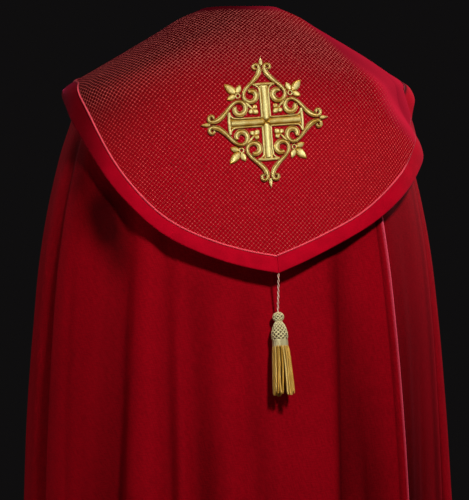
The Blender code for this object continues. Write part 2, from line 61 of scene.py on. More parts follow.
MANTLE_RINGS = (
    # level, half_width, back, front
    (0.000, 0.066, 0.060, 0.056),
    (-0.030, 0.110, 0.095, 0.078),
    (-0.060, 0.160, 0.120, 0.097),
    (-0.090, 0.207, 0.139, 0.113),
    (-0.120, 0.241, 0.151, 0.127),
    (-0.150, 0.262, 0.159, 0.138),
    (-0.200, 0.281, 0.170, 0.150),
    (-0.290, 0.307, 0.185, 0.163),
    (-0.400, 0.329, 0.208, 0.174),
    (-0.520, 0.343, 0.233, 0.184),
    (-0.680, 0.355, 0.265, 0.196),
    (-0.860, 0.364, 0.297, 0.209),
    (-1.120, 0.379, 0.338, 0.230),
    (HEM_LEVEL, 0.396, 0.380, 0.256),
)
HOOD_RINGS = (
    # level, half_width, back, front
    (0.001, 0.0692, 0.0632, 0.0592),
    (-0.010, 0.0985, 0.0790, 0.0700),
    (-0.030, 0.1330, 0.1020, 0.0860),
    (-0.060, 0.1840, 0.1300, 0.1070),
    (-0.090, 0.2340, 0.1500, 0.1240),
    (-0.118, 0.2790, 0.1630, 0.1380),
    (-0.126, 0.2880, 0.1655, 0.1420),
    (-0.134, 0.2920, 0.1680, 0.1460),
    (-0.146, 0.2950, 0.1712, 0.1505),
    (-0.160, 0.2980, 0.1750, 0.1550),
    (-0.200, 0.3090, 0.1840, 0.1660),
    (-0.260, 0.3210, 0.1980, 0.1780),
    (-0.330, 0.3340, 0.2160, 0.1880),
    (-0.440, 0.3500, 0.2490, 0.2000),
)
CORNER_FULLNESS = 0.035
FRONT_DIP = -0.050
DIP_FADES_AT = -0.260

FRONT_OPENING = (
    # level, half_gap
    (0.000, 0.010),
    (-0.120, 0.010),
    (-0.500, 0.024),
    (HEM_LEVEL, 0.070),
)

MANTLE_TROUGHS = (
    # top_azimuth, hem_azimuth, left_angle, right_angle, hem_depth, top_level
    (72.0, 71.5, 2.8, 2.8, 0.026, -0.18),
    (38.8, 47.0, 5.2, 5.2, 0.050, -0.28),
    (27.4, 27.8, 3.2, 3.2, 0.032, -0.34),
    (23.0, 16.5, 4.6, 4.6, 0.034, -0.46),
    (8.5, 2.0, 4.6, 4.6, 0.016, -0.52),
    (-21.0, -11.5, 3.6, 3.6, 0.030, -0.36),
    (-22.0, -28.0, 4.0, 4.0, 0.022, -0.54),
    (-71.5, -69.0, 2.2, 2.2, 0.016, -0.22),
    (-78.5, -77.0, 4.5, 4.5, -0.018, -0.20),
    (-90.0, -88.0, 4.5, 4.5, 0.028, -0.26),
    (-106.0, -104.0, 5.5, 5.5, 0.040, -0.28),
    (-124.0, -126.0, 5.0, 5.0, 0.032, -0.34),
    (-142.0, -146.0, 6.0, 6.0, 0.044, -0.30),
    (-162.0, -164.0, 4.5, 4.5, 0.030, -0.26),
    (91.0, 88.0, 5.0, 5.0, 0.034, -0.24),
    (118.0, 116.0, 6.0, 6.0, 0.042, -0.32),
    (136.0, 139.0, 4.5, 4.5, 0.030, -0.28),
    (154.0, 158.0, 6.0, 6.0, 0.040, -0.30),
)
MANTLE_LAPS = (
    # top_lip, hem_lip, far_side, lip_softness, far_softness, hem_depth, top_level
    (-38.4, -38.4, -60.0, 1.0, 6.0, 0.034, -0.22),
)
FOLD_GROWTH = 0.75
DRIFT_DEPTH = 0.0012

# The cloth's own pleats, which differ a little from the solid's: one wall of each is steeper than the other
DRAPED_TROUGHS = (
    # top_azimuth, hem_azimuth, left_angle, right_angle, hem_depth, top_level
    (72.8, 72.4, 6.5, 1.3, 0.024, -0.16),
    (42.0, 52.0, 4.2, 4.4, 0.058, -0.26),
    (30.0, 30.6, 2.4, 2.8, 0.038, -0.32),
    (23.4, 21.4, 2.0, 5.2, 0.044, -0.42),
    (9.4, 6.0, 2.6, 3.8, 0.028, -0.46),
    (-22.0, -12.6, 2.6, 5.0, 0.056, -0.34),
    (-26.0, -27.4, 2.6, 4.2, 0.040, -0.46),
    (-71.5, -69.0, 2.2, 2.2, 0.016, -0.22),
    (-78.5, -77.0, 4.5, 4.5, -0.018, -0.20),
    (-90.0, -88.0, 4.5, 4.5, 0.028, -0.26),
    (-106.0, -104.0, 5.5, 4.0, 0.040, -0.28),
    (-124.0, -126.0, 4.0, 6.0, 0.032, -0.34),
    (-142.0, -146.0, 6.0, 4.5, 0.044, -0.30),
    (-162.0, -164.0, 4.5, 4.5, 0.030, -0.26),
    (99.0, 97.0, 5.0, 4.0, 0.034, -0.24),
    (118.0, 117.0, 4.5, 5.5, 0.042, -0.32),
    (136.0, 139.0, 4.5, 4.0, 0.030, -0.28),
    (154.0, 158.0, 6.0, 5.0, 0.040, -0.30),
)
DRAPED_LAPS = (
    # top_lip, hem_lip, far_side, lip_softness, far_softness, hem_depth, top_level
    (-38.8, -35.8, -64.0, 0.55, 7.0, 0.052, -0.16),
)
# How far a lapped pleat's lip rolls over its recess, and how wide the rolled strip is, in degrees
LAP_ROLL = 1.2
LAP_ROLL_WIDTH = 1.0
# Degrees: how wide a lap's pressed lip is, how far off it the groove of stitches lies, and how wide that is
LIP_WIDTH = 0.72
GROOVE_OFF = 2.4
GROOVE_WIDTH = 0.80
# The deepest painted shade of a fold, and the painted shade of a groove of stitches
DARKEST = 0.95
GROOVE_SHADE = 0.45

# The level that each low_azimuth and low_shade below stands for
SHADED_TO = -0.86
# Painted shade down each fold: how much darker the cloth's colour is made along the fold's line
PAINTED_FOLD_SHADES = (
    # top_azimuth, low_azimuth, left_angle, right_angle, top_shade, low_shade, top_level
    (74.0, 74.0, 4.0, 2.2, 0.34, 0.20, -0.10),
    (42.0, 49.0, 6.5, 4.2, 0.16, 0.62, -0.24),
    (28.8, 29.4, 2.6, 2.6, 0.18, 0.36, -0.30),
    (21.4, 20.4, 3.2, 5.0, 0.10, 0.62, -0.36),
    (8.0, 4.4, 3.2, 3.6, 0.14, 0.26, -0.40),
    (-19.2, -16.4, 2.8, 4.8, 0.32, 0.88, -0.32),
    (-23.2, -25.2, 2.8, 6.6, 0.06, 0.84, -0.44),
    (-45.0, -44.0, 6.8, 19.0, 0.12, 1.00, -0.20),
    (-64.0, -64.0, 1.5, 2.2, 0.20, 0.40, -0.20),
    (-70.6, -71.0, 0.9, 0.9, 0.60, 0.60, -0.20),
)
# Painted shadow of the hood's left side on the mantle, where the cloth is made nearly black
PAINTED_HOOD_SHADOW = (
    # azimuth, left_angle, right_angle, level, half_height, depth
    (52.0, 10.0, 5.5, -0.315, 0.040, 0.98),
    (48.5, 6.0, 5.5, -0.352, 0.034, 0.66),
    (70.0, 10.0, 8.0, -0.228, 0.026, 0.50),
    (44.6, 4.0, 3.5, -0.394, 0.028, 0.36),
    (64.0, 8.0, 8.0, -0.272, 0.028, 0.65),
)
# The pressed edge of a lapped pleat: a narrow strip that stands a little proud, with a painted highlight that makes
# it lighter than the cloth
EDGE_ROLL = 0.0020
# Painted highlights down the edges of two folds on the right, lighter and pinker than the cloth, in place of rim
# light
PAINTED_EDGE_HIGHLIGHTS = (
    # top_azimuth, low_azimuth, half_angle, strength, top_level
    (-68.2, -68.8, 0.90, 1.00, -0.22),
    (-73.4, -74.0, 0.90, 1.00, -0.30),
)

# Softer and shorter folds between the main pleats
MANTLE_CREASES = (
    # top_azimuth, low_azimuth, half_angle, depth, top_level, low_level
    (62.0, 60.5, 2.0, 0.0022, -0.30, -1.10),
    (54.0, 57.0, 2.2, 0.0026, -0.62, -1.50),
    (3.0, 5.5, 2.0, -0.0024, -0.62, -1.50),
    (-6.0, -3.0, 2.2, 0.0030, -0.40, -1.20),
    (-48.0, -46.5, 2.2, -0.0026, -0.34, -1.50),
    (-56.0, -53.0, 1.8, 0.0022, -0.50, -1.50),
    (-98.0, -97.0, 2.0, 0.0034, -0.45, -1.50),
    (-115.0, -114.0, 2.2, -0.0036, -0.40, -1.50),
    (-134.0, -133.0, 2.0, 0.0032, -0.55, -1.50),
    (-153.0, -155.0, 1.8, -0.0030, -0.45, -1.50),
    (108.0, 107.0, 2.2, -0.0036, -0.45, -1.50),
    (127.0, 128.0, 2.0, 0.0032, -0.55, -1.50),
    (146.0, 149.0, 2.0, -0.0030, -0.45, -1.50),
)

LEFT_SEAM = 72.0
RIGHT_SEAM = -89.0
HALF_SEAM = 0.00015
HEM_DEPTH = 0.030
HEM_STANDS = 0.0006

HOOD_EDGE = (
    # azimuth, left_level, right_level
    (0.0, -0.410, -0.410),
    (8.0, -0.400, -0.393),
    (16.0, -0.386, -0.375),
    (29.0, -0.351, -0.3455),
    (42.0, -0.2955, -0.3095),
    (55.0, -0.235, -0.2745),
    (61.0, -0.212, -0.257),
    (67.0, -0.191, -0.240),
    (73.0, -0.172, -0.226),
    (79.0, -0.155, -0.213),
    (85.0, -0.143, -0.190),
    (90.0, -0.135, -0.158),
    (95.0, -0.129, -0.135),
    (101.0, -0.123, -0.122),
    (108.0, -0.117, -0.115),
    (115.0, -0.112, -0.110),
    (130.0, -0.100, -0.100),
    (150.0, -0.086, -0.086),
)
BAND_SHARE = (
    # azimuth, the band's width on the left and on the right, as a share of BAND_WIDTH
    (0.0, 0.96, 0.96),
    (12.0, 0.92, 0.90),
    (24.0, 0.87, 0.88),
    (36.0, 0.85, 1.02),
    (44.0, 0.93, 1.11),
    (52.0, 1.02, 1.24),
    (60.0, 1.17, 1.45),
    (66.0, 1.34, 1.46),
    (70.0, 1.40, 1.46),
    (75.0, 1.26, 1.47),
    (80.0, 1.10, 1.50),
    (84.0, 1.02, 1.44),
    (87.0, 1.00, 1.22),
    (90.0, 1.00, 0.88),
    (93.0, 1.00, 0.66),
    (97.0, 1.00, 0.72),
    (101.0, 1.00, 0.90),
    (106.0, 1.00, 1.00),
    (150.0, 1.00, 1.00),
)
HOOD_FRONT_END = 150.0
BAND_WIDTH = 0.0260
# Degrees on either side over which the slope of the hood's edge is read
EDGE_NUDGE = 2.5
# How much further in than the band's width the panel and the band end, under the piping
PANEL_END = 0.0012
BAND_END = 0.0008
BAND_ROUND = 0.0022
BAND_CROWN = 0.0006
NOSE_DROP = 0.0011
BAND_THICKNESS = 0.0024
# Degrees from the hood's tip to where each length of band begins
HALF_MITRE = 0.04

HOOD_WAVES = (
    # azimuth, left_angle, right_angle, level, half_height, depth
    (-92.0, 20.0, 20.0, -0.075, 0.040, -0.010),
    (-93.5, 7.5, 7.5, -0.160, 0.050, -0.025),
    (-81.0, 7.0, 7.0, -0.160, 0.045, 0.011),
    (-63.0, 9.0, 9.0, -0.245, 0.034, -0.0045),
    (-68.0, 10.0, 10.0, -0.125, 0.030, 0.005),
    (60.0, 10.0, 10.0, -0.190, 0.060, 0.005),
    (-24.0, 12.0, 12.0, -0.330, 0.080, 0.003),
    (30.0, 12.0, 12.0, -0.330, 0.090, -0.003),
    (112.0, 10.0, 10.0, -0.110, 0.040, 0.008),
    (-116.0, 9.0, 9.0, -0.110, 0.040, 0.008),
)

# Painted shade on the hood: darker towards the neck, most of all on the left, and in a patch on the upper right
PAINTED_HOOD_SHADES = (
    # azimuth, left_angle, right_angle, level, half_height, depth
    (34.0, 60.0, 95.0, 0.000, 0.112, 0.95),
    (72.0, 34.0, 30.0, -0.105, 0.100, 0.78),
    (-37.0, 26.0, 22.0, -0.080, 0.060, 0.30),
)
# Folds of the hood over the right shoulder: a lit ridge, and the valley behind it. The last number of each is a
# painted highlight below 0 along the ridge, and a painted shade above 0 in the valley.
HOOD_FOLDS = (
    # ((level, azimuth), ...), (half_angle, depth, level, half_height, shade)
    (
        ((-0.250, -64.0), (-0.209, -57.0), (-0.175, -49.0), (-0.141, -44.0), (-0.100, -43.0)),
        (4.6, -0.0040, -0.165, 0.060, -0.50),
    ),
    (
        ((-0.230, -74.0), (-0.205, -69.0), (-0.160, -62.0), (-0.109, -66.0), (-0.080, -70.0)),
        (7.0, 0.0110, -0.165, 0.055, 0.30),
    ),
)
# Degrees over which the lattice fades, and the depth of the bare turned edge at the neck
BARE_FADE = 9.0
TURNED_EDGE = 0.008
HOOD_BARE = (
    # level, azimuth right of which the ground is bare
    (-0.300, -75.0),
    (-0.240, -64.0),
    (-0.209, -53.0),
    (-0.175, -46.0),
    (-0.141, -43.0),
    (-0.109, -42.0),
    (-0.061, -44.0),
    (-0.020, -56.0),
    (0.001, -64.0),
)

# The embroidered cross, drawn flat with x to the wearer's right and y up
CROSS_AZIMUTH = 0.5
CROSS_LEVEL = -0.1785
CROSS_LEAN_ACROSS = math.radians(2.9)
CROSS_LEAN_UP = math.radians(0.6)
# The brown painted shade at the foot of a padded stroke
GOLD_FOOT_SHADE = (0.120, 0.042, 0.003)
# Painted shade: how much darker the thread is made where its stroke runs across, in place of the light that satin
# stitch catches
GOLD_LAY_SHADE = 0.30
# How far a stroke's face starts above the hood, and how far its back goes in
GOLD_LIFT = 0.0003
GOLD_SINK = 0.0004

# Tassel, as drops below the top of its knob
KNOB_LEVEL = -0.4745
KNOB_WIDEST = 0.0086
TASSEL_OFF = 0.0035
SKIRT_DROP = 0.1310
SKIRT_RADIUS = 0.0183
CORD_END_GAP = 0.0008
CORD_DIAMETER = 0.0030


# Forms


def smooth_read(xs, ys, x):
    """A cubic through the rows of a table, with each row's slope from its two neighbours."""
    xs = np.asarray(xs, float)
    ys = np.asarray(ys, float)
    slopes = np.gradient(ys, xs)
    x = np.clip(x, xs[0], xs[-1])
    i = np.clip(np.searchsorted(xs, x, side="right") - 1, 0, len(xs) - 2)
    width = xs[i + 1] - xs[i]
    t = (x - xs[i]) / width
    rise = ys[i] * (1 + 2 * t) * (1 - t) ** 2 + ys[i + 1] * t**2 * (3 - 2 * t)
    lean = slopes[i] * t * (1 - t) ** 2 - slopes[i + 1] * t**2 * (1 - t)
    return rise + lean * width


def read_rings(rings, level):
    """The half width, back and front of a form at some levels."""
    rows = np.array(rings)[::-1]
    return [smooth_read(rows[:, 0], rows[:, column], level) for column in (1, 2, 3)]


def smooth_step(t):
    """Eases from 0 to 1: three times the square of t less twice its cube."""
    t = np.clip(t, 0.0, 1.0)
    return t * t * (3 - 2 * t)


def ramp(x, start, width):
    """0 up to a start, 1 from a width beyond it, and eased between the two."""
    return smooth_step((x - start) / width)


def bell(x, centre, half_width):
    """The exponential of minus the square of a distance from the centre, in half widths."""
    return np.exp(-(((x - centre) / half_width) ** 2))


def patches(table, azimuth, level):
    """Soft oval patches added up: each is a bell in azimuth, wider on one side, times a bell in level."""
    total = np.zeros(np.broadcast(azimuth, level).shape)
    for centre, left, right, middle, half_height, depth in table:
        width = np.where(azimuth > centre, left, right)
        total = total + depth * bell(azimuth, centre, width) * bell(level, middle, half_height)
    return total


def share_down(level, top, foot=HEM_LEVEL, most=1.0):
    """How far down a fold a level lies: 0 from its top up, 1 at its foot, and up to a given most below that."""
    return np.clip((level - top) / (foot - top), 0, most)


def form_point(rings, azimuth, level, inward):
    """A ring is an ellipse filled out a little at its four corners, deeper behind than in front."""
    azimuth, level = np.broadcast_arrays(np.asarray(azimuth, float), np.asarray(level, float))
    angle = np.radians(azimuth)
    half_width, back, front = read_rings(rings, level)
    depth = np.where(np.cos(angle) > 0, back, front)
    fuller = 1 + CORNER_FULLNESS * np.sin(2 * angle) ** 2
    frontness = ((1 - np.cos(angle)) / 2) ** 2
    fade = smooth_step(1 - level / DIP_FADES_AT)
    out = 1 - inward / np.hypot(half_width * np.sin(angle), depth * np.cos(angle))
    x = half_width * np.sin(angle) * fuller * out
    y = depth * np.cos(angle) * fuller * out
    z = level + FRONT_DIP * frontness * fade
    return np.stack([x, y, z], axis=-1)


def lap_lip(lap, level):
    """How far down a lap a level lies, and the azimuth of the lap's lip there."""
    top_lip, hem_lip, *_, top = lap
    share = share_down(level, top)
    return share, top_lip + (hem_lip - top_lip) * share**0.5


def pleats(troughs, laps, azimuth, level):
    """How far pleats draw a cloth in: each grows from nothing at its top to its full depth at the hem.

    A trough is a bell with its own width on either side, and a lap is a step down from its lip to its far side.
    """
    inward = np.zeros(np.broadcast(azimuth, level).shape)
    for top_azimuth, hem_azimuth, left, right, depth, top in troughs:
        share = share_down(level, top)
        centre = top_azimuth + (hem_azimuth - top_azimuth) * share
        width = np.where(azimuth > centre, left, right)
        inward = inward + depth * share**FOLD_GROWTH * bell(azimuth, centre, width)
    for lap in laps:
        share, lip = lap_lip(lap, level)
        _, _, far, lip_soft, far_soft, depth, _ = lap
        inside = np.tanh((lip - azimuth) / lip_soft) - np.tanh((far - azimuth) / far_soft)
        inward = inward + depth * share**FOLD_GROWTH * inside / 2
    return inward


def mantle_crease(azimuth, level):
    """Short soft folds: a bell across each, faded in below its top and out above its foot."""
    inward = np.zeros(np.broadcast(azimuth, level).shape)
    for top_azimuth, low_azimuth, half_angle, depth, top, low in MANTLE_CREASES:
        share = share_down(level, top, low)
        centre = top_azimuth + (low_azimuth - top_azimuth) * share
        fade = smooth_step(share / 0.25) * smooth_step((1 - share) / 0.2)
        inward = inward + depth * fade * bell(azimuth, centre, half_angle)
    return inward


def unevenness(azimuth, level):
    """A slow drift of the cloth, from three long waves that never line up."""
    first = np.sin(0.171 * azimuth + 3.1 * level + 0.4)
    second = np.sin(0.093 * azimuth - 5.3 * level + 1.9)
    third = np.sin(0.413 * azimuth + 1.7 * level + 4.2)
    return DRIFT_DEPTH * (first * second + 0.5 * third) * ramp(-level, 0.10, 0.15)


def mantle_point(azimuth, level):
    """The solid mantle's form: its rings, drawn in by its pleats."""
    return form_point(MANTLE_RINGS, azimuth, level, pleats(MANTLE_TROUGHS, MANTLE_LAPS, azimuth, level))


def painted_fold_shade(azimuth, level):
    """Painted shade in each fold and under the hood's left side, and below 0 a painted highlight along a rolled lip
    or a pressed edge.
    """
    shade = np.zeros(np.broadcast(azimuth, level).shape)
    for top_azimuth, low_azimuth, left, right, top_shade, low_shade, top in PAINTED_FOLD_SHADES:
        share = share_down(level, top, SHADED_TO, most=1.3)
        centre = top_azimuth + (low_azimuth - top_azimuth) * share
        width = np.where(azimuth > centre, left, right)
        depth = (top_shade + (low_shade - top_shade) * share) * smooth_step((top - level) / 0.06)
        shade = shade + depth * np.exp(-np.abs((azimuth - centre) / width) ** 2.4)
    shade = np.clip(shade + patches(PAINTED_HOOD_SHADOW, azimuth, level), 0, DARKEST)
    for top_azimuth, low_azimuth, half_angle, strength, top in PAINTED_EDGE_HIGHLIGHTS:
        share = share_down(level, top, SHADED_TO, most=3.0) ** 0.7
        centre = top_azimuth + (low_azimuth - top_azimuth) * share
        line = bell(azimuth, centre, half_angle) * smooth_step((top - level) / 0.04)
        shade = shade * (1 - line) - strength * line
    # A painted highlight along each lap's lip, and painted shade in the groove of stitches beside it
    for line, groove in lap_lines(azimuth, level):
        shade = np.maximum(shade, GROOVE_SHADE * groove) * (1 - line) - line
    return shade


def lap_lines(azimuth, level):
    """For each lap, bells about its pressed lip and about the narrow groove of stitches beside it."""
    for lap in DRAPED_LAPS:
        lip = lap_lip(lap, level)[1]
        grown = smooth_step((lap[-1] - level) / 0.05)
        line = bell(azimuth, lip + 0.5 * lap[3], LIP_WIDTH)
        yield line * grown, bell(azimuth, lip + GROOVE_OFF, GROOVE_WIDTH) * grown


def draped_mantle(azimuth, level):
    """The mantle's outer face: its pleats, its shorter folds, and each lap's lip rolled over its recess."""
    inward = pleats(DRAPED_TROUGHS, DRAPED_LAPS, azimuth, level)
    inward = inward + mantle_crease(azimuth, level) + unevenness(azimuth, level)
    for line, groove in lap_lines(azimuth, level):
        inward = inward - EDGE_ROLL * line + 1.4 * EDGE_ROLL * groove
    rolled = azimuth
    for lap in DRAPED_LAPS:
        share, lip = lap_lip(lap, level)
        rolled = rolled - LAP_ROLL * share**0.4 * bell(azimuth, lip + 0.5 * lap[3], LAP_ROLL_WIDTH)
    return form_point(MANTLE_RINGS, rolled, level, inward)


def slanting_folds(azimuth, level, narrowed=1.0):
    """Each fold over the right shoulder, from 0 to 1 about its own slanting line: (depth, painted shade, how much).
    """
    for line, (half_angle, depth, middle, half_height, shade) in HOOD_FOLDS:
        centre = smooth_read([row[0] for row in line], [row[1] for row in line], level)
        yield depth, shade, bell(azimuth, centre, narrowed * half_angle) * bell(level, middle, half_height)


def hood_point(azimuth, level):
    """The hood's form, its broad waves, and the slanting folds where it bends over the right shoulder."""
    inward = patches(HOOD_WAVES, azimuth, level)
    for depth, _, near in slanting_folds(azimuth, level):
        inward = inward + depth * near
    return form_point(HOOD_RINGS, azimuth, level, inward)


def hood_plain(azimuth, level):
    """1 where the hood is bare of lattice: its turned top edge and the right shoulder."""
    rows = np.array(HOOD_BARE)
    centre = smooth_read(rows[:, 0], rows[:, 1], level)
    right = smooth_step((centre - azimuth) / BARE_FADE + 0.5)
    top = ramp(level, HOOD_RINGS[0][0] - TURNED_EDGE, 0.003)
    return np.maximum(right, top)


def speeds(point, azimuth, level):
    """Metres gone for each degree of azimuth and for each metre of level, and the outward unit normal."""
    across = point(azimuth + 0.5, level) - point(azimuth - 0.5, level)
    along = (point(azimuth, level + 0.001) - point(azimuth, level - 0.001)) / 0.002
    normal = np.cross(along, across)
    normal /= np.linalg.norm(normal, axis=-1, keepdims=True)
    return np.linalg.norm(across, axis=-1), np.linalg.norm(along, axis=-1), normal


def moved_out(point, azimuth, level, distance):
    """A form's points, moved a distance along its outward normals."""
    normal = speeds(point, azimuth, level)[2]
    return point(azimuth, level) + normal * np.asarray(distance)[..., None]


def read_sides(table, azimuth):
    """A table of azimuth, left and right, read on the side that the azimuth is on."""
    rows = np.array(table)
    left = smooth_read(rows[:, 0], rows[:, 1], np.abs(azimuth))
    right = smooth_read(rows[:, 0], rows[:, 2], np.abs(azimuth))
    return np.where(np.asarray(azimuth) >= 0, left, right)


def hood_edge(azimuth):
    """The level of the hood's outer edge."""
    return read_sides(HOOD_EDGE, azimuth)


def hood_inset(azimuth, inset):
    """The level a distance in from the hood's edge, across the edge's own direction. The band takes its share."""
    edge = hood_edge(azimuth)
    inset = inset + np.minimum(inset, BAND_WIDTH) * (read_sides(BAND_SHARE, azimuth) - 1)
    across, along, _ = speeds(hood_point, azimuth, edge + inset / 2)
    behind = azimuth * np.maximum(0, 1 - EDGE_NUDGE / np.maximum(np.abs(azimuth), EDGE_NUDGE / 8))
    ahead = azimuth + np.where(np.asarray(azimuth) >= 0, EDGE_NUDGE, -EDGE_NUDGE)
    slope = (hood_edge(ahead) - hood_edge(behind)) / (ahead - behind) / across * along
    return edge + inset * np.sqrt(1 + slope**2) / along


def front_edge(level):
    """The azimuth of the left front's edge: half a turn less the opening's half gap, as an angle."""
    rows = np.array(FRONT_OPENING)[::-1]
    half_gap = smooth_read(rows[:, 0], rows[:, 1], level)
    return 180.0 - np.degrees(half_gap / read_rings(MANTLE_RINGS, level)[0])


# Meshes


def unit(vectors):
    """Vectors divided by their own lengths."""
    return vectors / np.maximum(np.linalg.norm(vectors, axis=-1, keepdims=True), 1e-12)


def run_length(points, axis=0):
    """How far along its own line each point lies, from the first."""
    steps = np.diff(points, axis=axis, prepend=np.take(points, [0], axis=axis))
    return np.cumsum(np.linalg.norm(steps, axis=-1), axis=axis)


def paired(first, second):
    """Two fields of numbers as one grid of pairs."""
    return np.stack(np.broadcast_arrays(first, second), axis=-1)


def outward_of(points):
    """Unit normals of a grid whose rows run down and whose columns run to the wearer's left."""
    down = np.gradient(points, axis=0)
    across = np.gradient(points, axis=1)
    return unit(np.cross(across, down))


def grid_quads(rows, columns, wrap=False):
    """The four corners of every cell of a grid of points, counted row by row."""
    index = np.arange(rows * columns).reshape(rows, columns)
    if wrap:
        index = np.concatenate([index, index[:, :1]], axis=1)
    corners = [index[:-1, :-1], index[:-1, 1:], index[1:, 1:], index[1:, :-1]]
    return np.stack(corners, axis=-1).reshape(-1, 4)


def shell_part(outer, inner, uv):
    """A closed wall between two grids: (points, quads, uv, slot of each quad), with the inner face in slot 1."""
    rows, columns = outer.shape[:2]
    count = rows * columns
    index = np.arange(count).reshape(rows, columns)
    rim = np.concatenate([index[0, :-1], index[:-1, -1], index[-1, :0:-1], index[:0:-1, 0]])
    after = np.roll(rim, -1)
    sides = np.stack([after, rim, rim + count, after + count], axis=1)
    face = grid_quads(rows, columns)
    quads = np.concatenate([face, face[:, ::-1] + count, sides])
    points = np.concatenate([outer.reshape(-1, 3), inner.reshape(-1, 3)])
    flat = uv.reshape(-1, 2)
    slots = np.concatenate([np.zeros(len(face)), np.ones(len(face)), np.zeros(len(sides))])
    return right_way_out(points, quads), np.concatenate([flat, flat]), slots


def tube_part(path, radius, sides, up, lobes=0, twist=0.0, lobe_depth=0.0):
    """A closed tube about a path: radius along it, and lobes that turn with its length, as plies do in a cord."""
    path = np.asarray(path, float)
    run = unit(np.gradient(path, axis=0))
    side = unit(np.cross(run, np.asarray(up, float)))
    lift = np.cross(side, run)
    length = run_length(path)
    turn = np.linspace(0, 2 * math.pi, sides, endpoint=False)
    wave = 1 + lobe_depth * np.cos(lobes * (turn[None, :] - twist * length[:, None]))
    size = np.broadcast_to(np.asarray(radius, float), (len(path),))[:, None] * wave
    wall = path[:, None] + size[..., None] * (
        np.cos(turn)[None, :, None] * side[:, None] + np.sin(turn)[None, :, None] * lift[:, None]
    )
    rows = len(path)
    points = np.concatenate([wall.reshape(-1, 3), path[[0, -1]]])
    quads = grid_quads(rows, sides, wrap=True)
    ring = np.arange(sides)
    first = np.stack([np.roll(ring, -1), ring, np.full(sides, rows * sides)], axis=1)
    last_ring = ring + (rows - 1) * sides
    last = np.stack([last_ring, np.roll(last_ring, -1), np.full(sides, rows * sides + 1)], axis=1)
    caps = np.concatenate([first, last])
    faces = np.concatenate([quads, np.column_stack([caps, caps[:, 2]])])
    around = turn * np.mean(size)
    uv = paired(length[:, None], around[None, :]).reshape(-1, 2)
    uv = np.concatenate([uv, [[0, 0], [length[-1], 0]]])
    # Painted light: 1 on the side that faces up, 0 on the side away and in the hollows between plies, for the
    # materials' painted highlight and shade
    facing = 0.5 + 0.5 * np.sin(turn)[None, :] * np.ones((rows, 1))
    if lobes:
        facing = (0.5 + 0.5 * facing) * (wave - wave.min()) / (wave.max() - wave.min())
    raised = np.concatenate([facing.ravel(), [0.2, 0.2]])
    return right_way_out(points, faces), uv, np.zeros(len(faces)), raised


def right_way_out(points, quads):
    """Turns the faces round if the signed volume that they enclose is below 0."""
    a, b, c, d = (points[quads[:, i]] for i in range(4))
    volume = np.einsum("ij,ij->i", a, np.cross(b, c)).sum() + np.einsum("ij,ij->i", a, np.cross(c, d)).sum()
    return points, quads if volume > 0 else quads[:, ::-1]


def make_mesh(name, parts, materials, sharp=60.0, **fields):
    """One object from several parts. A quad whose last two corners are the same is made a triangle.

    Each of fields is a value at every point of the first part's outer grid. One of them is painted shade above 0,
    in the bottom of a fold, in a groove or under the hood, and a painted highlight below 0 on a lit edge or ridge,
    and
    Bare is 1 where the lattice stops. A part's fourth item, Raised, is 1 on the crest of a thread or a padded
    stroke and 0 at its foot; the materials paint a highlight on the crest and shade at the foot from it.
    """
    points, faces, uvs, slots, first = [], [], [], [], 0
    for (part_points, part_faces), uv, slot, *_ in parts:
        points.append(part_points)
        faces.append(part_faces + first)
        uvs.append(uv)
        slots.append(slot)
        first += len(part_points)
    if len(parts[0]) > 3:
        fields["Raised"] = np.concatenate([part[3] for part in parts])
    points, faces = np.concatenate(points), np.concatenate(faces)
    uvs, slots = np.concatenate(uvs), np.concatenate(slots)
    kept = faces != np.roll(faces, -1, axis=1)
    totals = kept.sum(axis=1)
    corners = faces[kept]
    mesh = bpy.data.meshes.new(name)
    mesh.vertices.add(len(points))
    mesh.vertices.foreach_set("co", points.ravel().astype(np.float32))
    mesh.loops.add(len(corners))
    mesh.loops.foreach_set("vertex_index", corners.astype(np.int32))
    mesh.polygons.add(len(faces))
    starts = np.concatenate([[0], np.cumsum(totals)[:-1]])
    mesh.polygons.foreach_set("loop_start", starts.astype(np.int32))
    mesh.polygons.foreach_set("loop_total", totals.astype(np.int32))
    mesh.polygons.foreach_set("material_index", slots.astype(np.int32))
    layer = mesh.uv_layers.new(name="Metres")
    layer.data.foreach_set("uv", uvs[corners].ravel().astype(np.float32))
    for field, values in fields.items():
        every = np.concatenate([values.ravel(), np.zeros(len(points) - values.size)])
        mesh.attributes.new(field, "FLOAT", "POINT").data.foreach_set("value", every.astype(np.float32))
    for material in materials:
        mesh.materials.append(material)
    mesh.update(calc_edges=True)
    mesh.validate()
    mesh.shade_smooth()
    mesh.set_sharp_from_angle(angle=math.radians(sharp))
    made = bpy.data.objects.new(name, mesh)
    bpy.context.scene.collection.objects.link(made)
    return made


def settle(piece, slot, *nodes):
    """Hands a finished piece to the frame."""
    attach(piece, BODY)
    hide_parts(*nodes)


def smooth_line(points, count):
    """A smooth curve through a few points, read at even shares of the length of their chords."""
    points = np.asarray(points, float)
    along = run_length(points)
    at = np.linspace(0, along[-1], count)
    return np.stack([smooth_read(along, column, at) for column in points.T], axis=1)


def between(count, kept):
    """Weights that read a smooth curve through the kept rows of a grid at every one of its rows."""
    return np.stack([smooth_read(kept, row, np.arange(count)) for row in np.eye(len(kept))], axis=1)


# The coarse copy of a cloth that is flattened, and how many rounds it takes
FLAT_ROWS = 20
FLAT_COLUMNS = 51
FLAT_ROUNDS = 40


